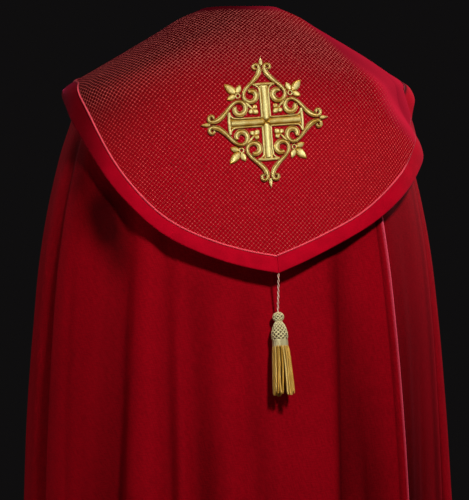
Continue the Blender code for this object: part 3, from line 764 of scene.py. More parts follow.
def flattened(points):
    """Where each point of a curved cloth lies on its flat pattern, with u to the viewer's right and v up.

    A coarse copy is flattened as rigidly as it can be. Each triangle keeps its shape and takes the turn that suits
    its place best, then the points move to where the turned triangles want them, again and again. Columns run to
    the left.
    """
    kept_rows = np.unique(np.linspace(0, points.shape[0] - 1, FLAT_ROWS).round().astype(int))
    kept_columns = np.unique(np.linspace(0, points.shape[1] - 1, FLAT_COLUMNS).round().astype(int))
    coarse = points[np.ix_(kept_rows, kept_columns)]
    rows, columns = coarse.shape[:2]
    middle = columns // 2
    across = run_length(coarse, axis=1)
    drop = run_length(coarse[:, middle])
    flat = paired(across[:, middle, None] - across, -drop[:, None]).reshape(-1, 2)
    a, b, c, d = grid_quads(rows, columns).T
    triangles = np.concatenate([np.stack([a, b, d], axis=1), np.stack([b, c, d], axis=1)])
    corners = coarse.reshape(-1, 3)[triangles]
    first, second = corners[:, 1] - corners[:, 0], corners[:, 2] - corners[:, 0]
    length = np.linalg.norm(first, axis=1)
    along = (first * second).sum(axis=1) / length
    height = np.linalg.norm(np.cross(first, second), axis=1) / length
    zero = np.zeros_like(length)
    local = np.stack([paired(zero, zero), paired(-length, zero), paired(-along, -height)], axis=1)
    ends = [(0, 1, 2), (1, 2, 0), (2, 0, 1)]
    weights = []
    for i, j, k in ends:
        p, q = corners[:, i] - corners[:, k], corners[:, j] - corners[:, k]
        weights.append(0.5 * (p * q).sum(1) / np.linalg.norm(np.cross(p, q), axis=1))
    matrix = np.zeros((len(flat), len(flat)))
    for (i, j, _), weight in zip(ends, weights):
        for one, other in ((triangles[:, i], triangles[:, j]), (triangles[:, j], triangles[:, i])):
            np.add.at(matrix, (one, one), weight)
            np.add.at(matrix, (one, other), -weight)
    matrix[middle, middle] += 1.0
    inverse = np.linalg.inv(matrix)
    for _ in range(FLAT_ROUNDS):
        joint = np.zeros((len(triangles), 2, 2))
        for (i, j, _), weight in zip(ends, weights):
            moved = flat[triangles[:, i]] - flat[triangles[:, j]]
            kept = local[:, i] - local[:, j]
            joint += weight[:, None, None] * moved[:, :, None] * kept[:, None, :]
        left, _, right = np.linalg.svd(joint)
        flip = np.linalg.det(left @ right)
        left[:, :, 1] *= flip[:, None]
        turn = left @ right
        wanted = np.zeros_like(flat)
        for (i, j, _), weight in zip(ends, weights):
            push = weight[:, None] * np.einsum("tij,tj->ti", turn, local[:, i] - local[:, j])
            np.add.at(wanted, triangles[:, i], push)
            np.add.at(wanted, triangles[:, j], -push)
        flat = inverse @ wanted
    flat = flat.reshape(rows, columns, 2) - flat[middle]
    spine = unit(flat[-1, middle])
    turned_back = np.array([[-spine[1], spine[0]], [-spine[0], -spine[1]]])
    flat = flat @ turned_back.T
    down = between(points.shape[0], kept_rows)
    sideways = between(points.shape[1], kept_columns)
    return np.einsum("ri,ijk,cj->rck", down, flat, sideways)


# Materials


class Graph:
    """Adds nodes to a tree and wires them: an input is given a value or another node's output."""

    def __init__(self, tree):
        self.tree = tree

    def join(self, value, socket):
        if isinstance(value, bpy.types.NodeSocket):
            self.tree.links.new(value, socket)
        else:
            socket.default_value = value

    def add(self, kind, inputs=None, **settings):
        made = self.tree.nodes.new(kind)
        for name, value in settings.items():
            setattr(made, name, value)
        for socket, value in (inputs or {}).items():
            self.join(value, made.inputs[socket])
        return made

    def math(self, operation, *values):
        return self.add("ShaderNodeMath", dict(enumerate(values)), operation=operation).outputs[0]

    def times(self, first, second):
        return self.math("MULTIPLY", first, second)

    def span(self, value, low, high, new_low=0.0, new_high=1.0, smooth=True):
        """Carries a value from one range to another, eased or straight, and holds it there."""
        kind = "SMOOTHSTEP" if smooth else "LINEAR"
        values = {"Value": value, "From Min": low, "From Max": high, "To Min": new_low, "To Max": new_high}
        return self.add("ShaderNodeMapRange", values, interpolation_type=kind).outputs[0]

    def split(self, vector):
        return self.add("ShaderNodeSeparateXYZ", {0: vector}).outputs

    def mix(self, share, first, second, blend="MIX"):
        made = self.add("ShaderNodeMix", data_type="RGBA", blend_type=blend)
        for value, index in ((share, 0), (first, 6), (second, 7)):
            self.join(value, made.inputs[index])
        return made.outputs[2]

    def dimmed(self, colour, factor):
        """A colour times a number that changes over the surface."""
        grey = self.add("ShaderNodeCombineColor", {0: factor, 1: factor, 2: factor}).outputs[0]
        return self.mix(1.0, colour, grey, blend="MULTIPLY")

    def noise(self, vector, scale, detail):
        """Soft random blotches, from about 0.3 to 0.7."""
        values = {"Vector": vector, "Scale": scale, "Detail": detail, "Roughness": 0.55}
        return self.add("ShaderNodeTexNoise", values).outputs[0]

    def field(self, name):
        return self.add("ShaderNodeAttribute", attribute_name=name).outputs["Fac"]

    def shared(self, maker, **inputs):
        """Places a shared node group, which is built once, with its own values."""
        if maker not in GROUPS:
            GROUPS[maker] = maker()
        values = {name.replace("_", " "): value for name, value in inputs.items()}
        return self.add("ShaderNodeGroup", values, node_tree=GROUPS[maker]).outputs


def new_group(name, outputs, **inputs):
    """An empty node group that takes a Vector and some numbers: (its graph, what comes in, what goes out)."""
    tree = bpy.data.node_groups.new(name, "ShaderNodeTree")
    tree.interface.new_socket("Vector", in_out="INPUT", socket_type="NodeSocketVector")
    for label, default in inputs.items():
        socket = tree.interface.new_socket(label.replace("_", " "), in_out="INPUT", socket_type="NodeSocketFloat")
        socket.default_value = default
    for label in outputs:
        tree.interface.new_socket(label, in_out="OUTPUT", socket_type="NodeSocketFloat")
    graph = Graph(tree)
    return graph, graph.add("NodeGroupInput").outputs, graph.add("NodeGroupOutput").inputs


def weave_group():
    """Plain weave: a height that rises and falls over and under, from two crossed sines a thread wide."""
    graph, given, out = new_group("Plain weave", ("Height",), Threads_per_metre=900.0)
    across, along, _ = graph.split(given["Vector"])
    pitch = graph.times(given["Threads per metre"], math.pi)
    warp = graph.math("SINE", graph.times(across, pitch))
    weft = graph.math("SINE", graph.times(along, pitch))
    graph.join(graph.times(warp, weft), out["Height"])
    return graph.tree


def lattice_group():
    """A diamond lattice: how near each point lies to the nearest rising thread, falling thread and crossing."""
    outputs = ("Rising", "Falling", "Crossing")
    graph, given, out = new_group("Diamond lattice", outputs, Spacing=0.0073, Thread_width=0.00064)
    across, up, _ = graph.split(given["Vector"])
    near = []
    for operation, label in (("SUBTRACT", "Rising"), ("ADD", "Falling")):
        cell = graph.math("DIVIDE", graph.math(operation, across, up), given["Spacing"])
        offset = graph.math("ABSOLUTE", graph.math("SUBTRACT", graph.math("FRACT", cell), 0.5))
        near.append(graph.times(offset, given["Spacing"]))
        graph.join(graph.span(near[-1], given["Thread width"], 0.0), out[label])
    knot = graph.times(given["Thread width"], 1.8)
    graph.join(graph.span(graph.math("MAXIMUM", *near), knot, 0.0004), out["Crossing"])
    return graph.tree


def stitch_group():
    """Laid threads: ridges across a piece's length, leaning by a slant, and a shade for each thread."""
    graph, given, out = new_group("Laid threads", ("Height", "Shade"), Threads_per_metre=1500.0, Slant=0.5)
    along, across, _ = graph.split(given["Vector"])
    leaning = graph.math("MULTIPLY_ADD", across, given["Slant"], along)
    cell = graph.times(leaning, given["Threads per metre"])
    graph.join(graph.math("SINE", graph.times(cell, 2 * math.pi)), out["Height"])
    thread = graph.math("FLOOR", cell)
    pick = graph.add("ShaderNodeTexWhiteNoise", noise_dimensions="1D")
    graph.join(thread, pick.inputs["W"])
    graph.join(pick.outputs[0], out["Shade"])
    return graph.tree


def drift_group():
    """Broad and fine unevenness of a dyed cloth, from two noises of the place."""
    graph, given, out = new_group("Uneven dye", ("Broad", "Fine"), Broad_scale=9.0, Fine_scale=420.0)
    graph.join(graph.noise(given["Vector"], given["Broad scale"], 3.0), out["Broad"])
    graph.join(graph.noise(given["Vector"], given["Fine scale"], 2.0), out["Fine"])
    return graph.tree


GROUPS = {}


def shaded(colour, factor):
    """A colour's channels times a number, and an alpha of 1."""
    return (*[channel * factor for channel in colour], 1.0)


def set_shader(shader, **values):
    """Sets values on a shader's own sockets, whose names have a space for each underscore."""
    for name, value in values.items():
        shader.inputs[name.replace("_", " ")].default_value = value


class Finish(Graph):
    """A material in the making. Its patterns read the cloth's own metres, and its uneven dye the place in space."""

    def __init__(self, name, broad, fine):
        self.material = bpy.data.materials.new(name)
        self.material.use_nodes = True
        super().__init__(self.material.node_tree)
        self.shader = self.tree.nodes["Principled BSDF"]
        self.metres = self.add("ShaderNodeUVMap", uv_map="Metres").outputs[0]
        self.place = self.add("ShaderNodeTexCoord").outputs["Object"]
        drift = self.shared(drift_group, Vector=self.place, Broad_scale=broad, Fine_scale=fine)
        self.broad, self.fine = drift["Broad"], drift["Fine"]

    def tones(self, value, low, high, colour, darker, lighter):
        """Two shades of a colour, from the darker to the lighter as a value goes from low to high."""
        return self.mix(self.span(value, low, high), shaded(colour, darker), shaded(colour, lighter))

    def with_painted_light(self, colour, depth, painted_highlight):
        """Paints shade into the colour by a share where the mask is above 0, and paints a highlight towards a
        colour where it is below 0.
        """
        painted_light = self.field("Hollow")
        deep = self.math("SUBTRACT", 1.0, self.times(self.math("MAXIMUM", painted_light, 0.0), depth))
        edge = self.math("MINIMUM", self.math("MAXIMUM", self.times(painted_light, -1.0), 0.0), 1.0)
        return self.mix(edge, self.dimmed(colour, deep), painted_highlight)

    def finished(self, colour, height=None, distance=0.0, strength=0.0, **constants):
        """Joins the colour and the bump, and sets what is the same all over on the shader itself."""
        self.join(colour, self.shader.inputs["Base Color"])
        if height is not None:
            bump = self.add("ShaderNodeBump", {"Height": height, "Distance": distance, "Strength": strength})
            self.join(bump.outputs[0], self.shader.inputs["Normal"])
        set_shader(self.shader, **constants)
        return self.material


def wool_material(name, colour, sheen, painted_highlight):
    """Plain-woven cloth: uneven dye, a weave in its bump, and a soft pink sheen at grazing angles."""
    made = Finish(name, 7.0, 330.0)
    base = made.tones(made.broad, 0.3, 0.7, colour, 0.86, 1.08)
    slubs = []
    for stretch in ((620.0, 60.0, 1.0), (130.0, 620.0, 1.0)):
        drawn = made.add("ShaderNodeVectorMath", {0: made.metres, 1: stretch}, operation="MULTIPLY").outputs[0]
        slubs.append(made.noise(drawn, 1.0, 2.0))
    slub = made.times(made.math("ADD", *slubs), 0.5)
    grain = made.tones(slub, 0.38, 0.62, colour, 0.68, 1.30)
    weave = made.shared(weave_group, Vector=made.metres, Threads_per_metre=900.0)["Height"]
    return made.finished(
        # Painted shade in the folds and under the hood, and a painted highlight along the laps' lips and pressed
        # edges
        made.with_painted_light(made.mix(0.52, base, grain), 0.9, (*painted_highlight, 1.0)),
        *(made.math("MULTIPLY_ADD", weave, 0.5, slub), 0.0006, 0.5),
        Roughness=0.72,
        Specular_IOR_Level=0.02,
        Sheen_Weight=sheen,
        Sheen_Roughness=0.30,
        Sheen_Tint=(1.0, 0.018, 0.075, 1.0),
    )


def lining_material(name, colour):
    """Satin lining: a fine twill line and a gentle gloss."""
    made = Finish(name, 5.0, 260.0)
    threads = made.shared(stitch_group, Vector=made.metres, Threads_per_metre=1400.0, Slant=1.0)["Height"]
    base = made.tones(made.broad, 0.3, 0.7, colour, 0.85, 1.1)
    return made.finished(base, made.times(threads, 0.4), 0.0003, 0.4, Roughness=0.42, Specular_IOR_Level=0.20)


def brocade_material(name, colour, thread, plain):
    """Fine ribbed red ground under a diamond lattice of pale metal thread, with a knot at each crossing.

    The ground takes painted shade and a painted highlight, and the threads are made brighter where the painted
    shade lies, a painted glint. The falling threads show more towards the right.
    """
    made = Finish(name, 11.0, 380.0)
    lattice = made.shared(lattice_group, Vector=made.metres, Spacing=0.0073, Thread_width=0.00064)
    bare = made.field("Bare")
    laced = made.math("SUBTRACT", 1.0, bare)
    painted_shade_share = made.span(made.field("Hollow"), 0.28, 0.75)
    # The bare ground's colour, lighter and pinker than the ground, carries a painted sheen
    ground = made.mix(bare, made.tones(made.fine, 0.35, 0.65, colour, 0.82, 1.15), (*plain, 1.0))
    # Painted shade, and a painted highlight lighter than the bare ground
    ground = made.with_painted_light(ground, 0.96, shaded(plain, 1.45))
    to_right = made.span(made.split(made.place)[0], -0.02, -0.20, 0.17, 0.29)
    threads = [
        made.times(lattice[label], made.math("MULTIPLY_ADD", painted_shade_share, 0.50, least))
        for label, least in (("Rising", 0.23), ("Falling", to_right))
    ]
    uneven = made.span(made.fine, 0.35, 0.62, 0.65, 1.0)
    knots = made.times(lattice["Crossing"], made.span(made.fine, 0.35, 0.65, 0.30, 1.0))
    share = made.math("MAXIMUM", made.times(made.math("MAXIMUM", *threads), uneven), knots)
    share = made.times(share, laced)
    made.join(made.times(share, 0.2), made.shader.inputs["Metallic"])
    made.join(made.span(share, 0.0, 1.0, 0.66, 0.42, smooth=False), made.shader.inputs["Roughness"])
    height = made.math("ADD", made.math("MAXIMUM", lattice["Rising"], lattice["Falling"]), lattice["Crossing"])
    return made.finished(
        made.mix(share, ground, (*thread, 1.0)),
        *(made.times(height, laced), 0.0005, 0.7),
        Specular_IOR_Level=0.0,
        Sheen_Weight=0.05,
        Sheen_Roughness=0.35,
        Sheen_Tint=(1.0, 0.035, 0.18, 1.0),
    )


def velvet_material(name, colour):
    """Cut velvet: a deep base, a bright sheen and the faint mottling of a brushed pile."""
    made = Finish(name, 38.0, 520.0)
    base = made.tones(made.broad, 0.35, 0.65, colour, 0.80, 1.12)
    pile = made.tones(made.fine, 0.3, 0.7, colour, 0.85, 1.12)
    return made.finished(
        # Painted shade where the mask is above 0, and a lighter painted highlight where it is below 0
        made.with_painted_light(made.mix(0.5, base, pile), 0.85, shaded(colour, 1.4)),
        *(made.fine, 0.0005, 0.4),
        Roughness=0.85,
        Specular_IOR_Level=0.03,
        Sheen_Weight=0.20,
        Sheen_Roughness=0.3,
        Sheen_Tint=(1.0, 0.04, 0.21, 1.0),
    )


def core_material(name, light, dark):
    """The wound thread under a net: each thread its own random shade, with a groove between it and the next that
    takes painted shade.
    """
    made = Finish(name, 60.0, 700.0)
    laid = made.shared(stitch_group, Vector=made.metres, Threads_per_metre=900.0, Slant=0.0)
    tone = made.mix(made.times(laid["Shade"], 0.6), (*light, 1.0), (*dark, 1.0))
    tone = made.mix(made.span(made.broad, 0.35, 0.7, 0.0, 0.35), tone, (*dark, 1.0))
    tone = made.dimmed(tone, made.span(laid["Height"], -1.0, -0.2, 0.62, 1.0))
    return made.finished(tone, laid["Height"], 0.0003, 0.6, Metallic=0.2, Roughness=0.6, Specular_IOR_Level=0.6)


def piping_material(name, colour):
    """A covered cord: smooth satin, with painted shade down its two sides and underneath."""
    made = Finish(name, 30.0, 600.0)
    tone = made.mix(made.span(made.field("Raised"), 0.10, 0.85), shaded(colour, 0.30), (*colour, 1.0))
    tone = made.mix(made.span(made.fine, 0.3, 0.7, 0.0, 0.3), tone, shaded(colour, 0.6))
    return made.finished(tone, Roughness=0.6, Specular_IOR_Level=0.05)


def gold_material(name, light, dark, deep, threads, slant, metallic, roughness):
    """Metal thread over padding, with painted light: a pale highlight where it is raised and a brown shade at its
    foot.

    Ochre lies down its sides, each laid thread has a random shade of its own, and the grooves between threads take
    painted shade.
    """
    made = Finish(name, 70.0, 600.0)
    laid = made.shared(stitch_group, Vector=made.metres, Threads_per_metre=threads, Slant=slant)
    raised = made.math("ADD", made.field("Raised"), made.span(made.broad, 0.3, 0.7, -0.10, 0.10))
    tone = made.mix(made.span(raised, 0.05, 0.42), (*deep, 1.0), (*dark, 1.0))
    tone = made.mix(made.span(raised, 0.42, 0.98), tone, (*light, 1.0))
    tone = made.mix(made.times(laid["Shade"], 0.22), tone, (*dark, 1.0))
    return made.finished(
        made.dimmed(tone, made.span(laid["Height"], -1.0, 0.0, 0.70, 1.0)),
        *(laid["Height"], 0.0003, 0.4),
        Metallic=metallic,
        Roughness=roughness,
        Specular_IOR_Level=0.5,
        Specular_Tint=(1.0, 0.72, 0.26, 1.0),
    )


# Settings


def colour_setting(name, description, default):
    return FloatVectorProperty(name=name, description=description, default=default, subtype="COLOR")


def length_setting(name, description, default, least=0.0005):
    return FloatProperty(name=name, description=description, default=default, min=least, unit="LENGTH")


class CopeMantleSettings(bpy.types.PropertyGroup):
    thickness: length_setting("Cloth thickness", "Thickness of the mantle cloth", 0.0016)
    column_step: FloatProperty(
        name="Column step", description="Degrees between the mantle's columns", default=0.62, min=0.2
    )
    row_step: length_setting("Row step", "Height of one row of the mantle", 0.0102, least=0.004)
    colour: colour_setting("Cloth", "Colour of the mantle cloth", (0.290, 0.0008, 0.0062))
    # The colour of the painted highlight along the laps' lips and pressed edges, in place of rim light
    painted_highlight: colour_setting("Edge highlight", "Colour of a lap's rubbed edge", (0.98, 0.105, 0.180))
    lining: colour_setting("Lining", "Colour of the satin lining", (0.200, 0.004, 0.010))
    sheen: FloatProperty(
        name="Sheen", description="How much the cloth lights up at its edges", default=0.05, min=0.0, max=1.0
    )


class CopeHoodSettings(bpy.types.PropertyGroup):
    thickness: length_setting("Cloth thickness", "Thickness of the hood", 0.0020)
    piping_radius: length_setting("Piping radius", "Radius of the piping cord", 0.0015)
    ground: colour_setting("Ground", "Colour of the hood's ground", (0.342, 0.0006, 0.0070))
    thread: colour_setting("Lattice", "Colour of the lattice thread", (0.96, 0.205, 0.180))
    # The bare ground is the cloth's own red, made lighter and pinker by a painted sheen
    plain: colour_setting("Bare ground", "Colour where the lattice stops", (0.450, 0.0108, 0.0320))
    velvet: colour_setting("Velvet", "Colour of the band", (0.445, 0.0008, 0.0130))
    piping: colour_setting("Piping", "Colour of the piping", (0.92, 0.085, 0.120))


class CopeCrossSettings(bpy.types.PropertyGroup):
    thread_height: length_setting("Raised height", "How far the padding lifts the stitches", 0.0032, least=0.0)
    # The light gold is the thread's painted highlight; the dark gold is its tone down the sides, partly painted
    # shade and partly random from thread to thread
    light: colour_setting("Light gold", "Colour of the lit thread", (1.00, 0.91, 0.38))
    dark: colour_setting("Dark gold", "Colour of the duller thread", (0.50, 0.25, 0.022))


class CopeTasselSettings(bpy.types.PropertyGroup):
    strands: IntProperty(name="Strands", description="Twisted strands in the skirt", default=34, min=8)
    net: colour_setting("Net", "Colour of the netted head", (1.00, 0.90, 0.50))
    strand: colour_setting("Strand", "Colour of the skirt's strands", (1.00, 0.84, 0.36))


SETTINGS = (
    ("cope_mantle", CopeMantleSettings),
    ("cope_hood", CopeHoodSettings),
    ("cope_cross", CopeCrossSettings),
    ("cope_tassel", CopeTasselSettings),
)


# Stage

CAMERA_AZIMUTH = 164.0
CAMERA_HEIGHT = 7.0
CAMERA_DISTANCE = 3.2
SENSOR_HEIGHT = 24.0
# Metres to the right of the axis, and level
CAMERA_TARGET = (-0.0025, -0.402)
PIXELS_PER_METRE = 600.0
FRAME_PIXELS = 500.0


def camera_axes():
    """The view's right and the direction from the target to the camera."""
    turn, tilt = math.radians(CAMERA_AZIMUTH), math.radians(CAMERA_HEIGHT)
    right = np.array([math.cos(turn), math.sin(turn), 0.0])
    back = np.array([math.sin(turn) * math.cos(tilt), -math.cos(turn) * math.cos(tilt), math.sin(tilt)])
    return right, back


def aimed(obj, place, target):
    """Stands a camera or lamp at a place, looking at a target with its own top up."""
    back = unit(np.asarray(place, float) - np.asarray(target, float))
    right = unit(np.cross([0.0, 0.0, 1.0], back))
    up = np.cross(back, right)
    matrix = np.eye(4)
    matrix[:3, 0], matrix[:3, 1], matrix[:3, 2], matrix[:3, 3] = right, up, back, place
    obj.matrix_world = mathutils.Matrix(matrix.tolist())
    bpy.context.scene.collection.objects.link(obj)


LAMPS = (
    # name, right, up, towards_camera, size, watts, spread, colour, target_level
    ("key", 1.15, 2.20, 2.40, 0.50, 11.4, 54.0, (1.0, 0.97, 0.94), -0.36),
    ("low_fill", -2.20, -0.45, 1.90, 1.2, 12.5, 180.0, (1.0, 0.95, 0.95), -0.45),
    ("rim_right", 1.75, 0.60, -1.45, 0.6, 36.0, 180.0, (1.0, 0.82, 0.90), -0.30),
    ("rim_left", -1.90, 0.50, -1.30, 0.8, 8.0, 180.0, (1.0, 0.90, 0.95), -0.40),
)
FLOOR_LEVEL = -1.50
FLOOR_RADIUS = 2.0
FLOOR_COLOUR = (0.62, 0.61, 0.60, 1.0)
WORLD_COLOUR = (0.0048, 0.0044, 0.0046, 1.0)


class COPE_OT_stage(bpy.types.Operator):
    """The camera, the lamps and the pale floor"""

    bl_idname = "cope.add_stage"
    bl_label = "Stage"

    def execute(self, context):
        scene = context.scene
        right, back = camera_axes()
        target = np.array([0.0, 0.0, CAMERA_TARGET[1]]) + right * CAMERA_TARGET[0]
        lens = bpy.data.cameras.new("camera")
        lens.sensor_fit = "VERTICAL"
        lens.sensor_height = SENSOR_HEIGHT
        lens.lens = SENSOR_HEIGHT * CAMERA_DISTANCE / (FRAME_PIXELS / PIXELS_PER_METRE)
        camera = bpy.data.objects.new("camera", lens)
        aimed(camera, target + back * CAMERA_DISTANCE, target)
        scene.camera = camera
        scene.view_settings.view_transform = "Standard"
        flat_back = unit(np.array([back[0], back[1], 0.0]))
        for name, to_right, up, towards, size, watts, spread, colour, level in LAMPS:
            lamp = bpy.data.lights.new(name, "AREA")
            lamp.shape, lamp.size, lamp.energy, lamp.color = "DISK", size, watts, colour
            lamp.spread = math.radians(spread)
            obj = bpy.data.objects.new(name, lamp)
            place = right * to_right + flat_back * towards + np.array([0.0, 0.0, up])
            aimed(obj, place, (0.0, 0.0, level))
        world = bpy.data.worlds.new("studio")
        world.use_nodes = True
        world.node_tree.nodes["Background"].inputs[0].default_value = WORLD_COLOUR
        scene.world = world
        self.add_floor(scene)
        return {"FINISHED"}

    def add_floor(self, scene):
        """A round pale floor below the hem, of 128 sides."""
        turn = np.linspace(0, 2 * math.pi, 128, endpoint=False)
        ring = np.stack([np.cos(turn), np.sin(turn), np.zeros(128)], axis=1) * FLOOR_RADIUS
        ring[:, 2] = FLOOR_LEVEL
        mesh = bpy.data.meshes.new("floor")
        mesh.from_pydata(ring.tolist(), [], [list(range(128))])
        paint = bpy.data.materials.new("floor_paint")
        paint.use_nodes = True
        set_shader(paint.node_tree.nodes["Principled BSDF"], Base_Color=FLOOR_COLOUR, Roughness=0.9)
        mesh.materials.append(paint)
        floor = bpy.data.objects.new("floor", mesh)
        scene.collection.objects.link(floor)


# Mantle


def finish_material(name, maker, *values):
    """The material of this name, made when it is first asked for."""
    return bpy.data.materials.get(name) or maker(name, *values)


# Degrees on either side of a lap's lip where the columns are closer together
LIP_REACH = 5.0


def mantle_columns(start, end, step):
    """Shares of the way from one seam to the other in even steps, but closer together about each lap's lip."""
    count = int(abs(end - start) / step)
    columns = np.linspace(start, end, count)
    for top_lip, hem_lip, *_ in DRAPED_LAPS:
        lip = (top_lip + hem_lip) / 2
        if min(start, end) < lip < max(start, end):
            near = lip + np.linspace(-LIP_REACH, LIP_REACH, 72)
            columns = np.concatenate([columns[np.abs(columns - lip) > LIP_REACH], near])
    columns = np.sort(columns) if end > start else -np.sort(-columns)
    return (columns - start) / (end - start)


def hemmed(level):
    """The hem's turned-up cloth stands out a little below its line of stitches."""
    under_stitches = ramp(HEM_LEVEL + HEM_DEPTH - level, 0.0, 0.004)
    return HEM_STANDS * under_stitches * ramp(level, HEM_LEVEL, 0.003)


class COPE_OT_mantle(bpy.types.Operator):
    """The mantle's three panels, hung in soft pleats from the shoulders"""

    bl_idname = "cope.add_mantle"
    bl_label = "Mantle"

    def execute(self, context):
        given = context.scene.cope_mantle
        cloth = finish_material("cope_wool", wool_material, given.colour, given.sheen, given.painted_highlight)
        lining = finish_material("cope_lining", lining_material, given.lining)
        level = np.linspace(0.0, HEM_LEVEL, int(-HEM_LEVEL / given.row_step))[:, None]
        half_seam = HALF_SEAM / speeds(mantle_point, np.array([[90.0]]), level)[0]
        spans = (
            # name, start, end, flat size, flat area
            ("mantle_back", RIGHT_SEAM + half_seam, LEFT_SEAM - half_seam, (1.45, 1.50), 1.62),
            ("mantle_left", LEFT_SEAM + half_seam, front_edge(level), (0.80, 1.45), 0.92),
            ("mantle_right", RIGHT_SEAM - half_seam, -front_edge(level), (0.80, 1.45), 0.78),
        )
        for name, start, end, flat, area in spans:
            share = mantle_columns(float(start.mean()), float(end.mean()), given.column_step)
            azimuth = start + (end - start) * share
            points = draped_mantle(azimuth, level)
            outward = outward_of(points)
            if end.mean() < start.mean():
                outward = -outward
            outer = points + outward * hemmed(level)[..., None]
            inner = points - outward * given.thickness
            wall = shell_part(outer, inner, paired(run_length(points, axis=1), -level))
            # The folds' painted shade and painted highlights go with the mesh
            piece = make_mesh(name + "_cloth", [wall], [cloth, lining], Hollow=painted_fold_shade(azimuth, level))
            settle(piece, "mantle_cloth", name)
        return {"FINISHED"}


TAB_LEVEL = -0.108
TAB_HALF_HEIGHT = 0.020
TAB_HALF_WIDTH = 0.060
TAB_LIFT = 0.0006


class COPE_OT_tab(bpy.types.Operator):
    """The plain velvet tab that fastens the fronts"""

    bl_idname = "cope.add_tab"
    bl_label = "Front tab"

    def execute(self, context):
        velvet = finish_material("cope_velvet", velvet_material, context.scene.cope_hood.velvet)
        up = np.linspace(1, -1, 15)[:, None]
        level = TAB_LEVEL + TAB_HALF_HEIGHT * up
        share = np.linspace(-1, 1, 41)
        azimuth = 180 + np.degrees(TAB_HALF_WIDTH / read_rings(MANTLE_RINGS, level)[0]) * share
        edge = np.minimum(1 - np.abs(share), (1 - np.abs(up)) * 0.35)
        crown = 0.0026 * np.sqrt(np.clip(edge / 0.05, 0.02, 1.0))
        inner = moved_out(mantle_point, azimuth, level, np.full(azimuth.shape, TAB_LIFT))
        outer = moved_out(mantle_point, azimuth, level, TAB_LIFT + crown)
        wall = shell_part(outer, inner, paired(share * TAB_HALF_WIDTH, -level))
        piece = make_mesh("morse_tab_velvet", [wall], [velvet, velvet])
        settle(piece, "band_velvet", "morse_tab")
        return {"FINISHED"}


# Hood


def painted_hood_shade(azimuth, level):
    """Painted shade where the hood turns up towards the neck, most of all on the left, and the painted highlight
    and shade of the slanting folds.
    """
    shade = patches(PAINTED_HOOD_SHADES, azimuth, level)
    for _, depth, near in slanting_folds(azimuth, level, narrowed=0.8):
        shade = shade + depth * near
    return np.clip(shade, -0.6, 0.93)


def right_groove(azimuth):
    """1 along the part of the seam where the band is folded under on the right shoulder, where painted shade
    darkens the panel and the band.
    """
    return ramp(-azimuth, 70.0, 6.0) * ramp(azimuth, -112.0, 8.0)


def band_azimuths(side):
    """One column a degree, from the hood's tip to its front end on one side."""
    return side * np.maximum(np.arange(0.0, HOOD_FRONT_END + 0.5, 1.0), HALF_MITRE)


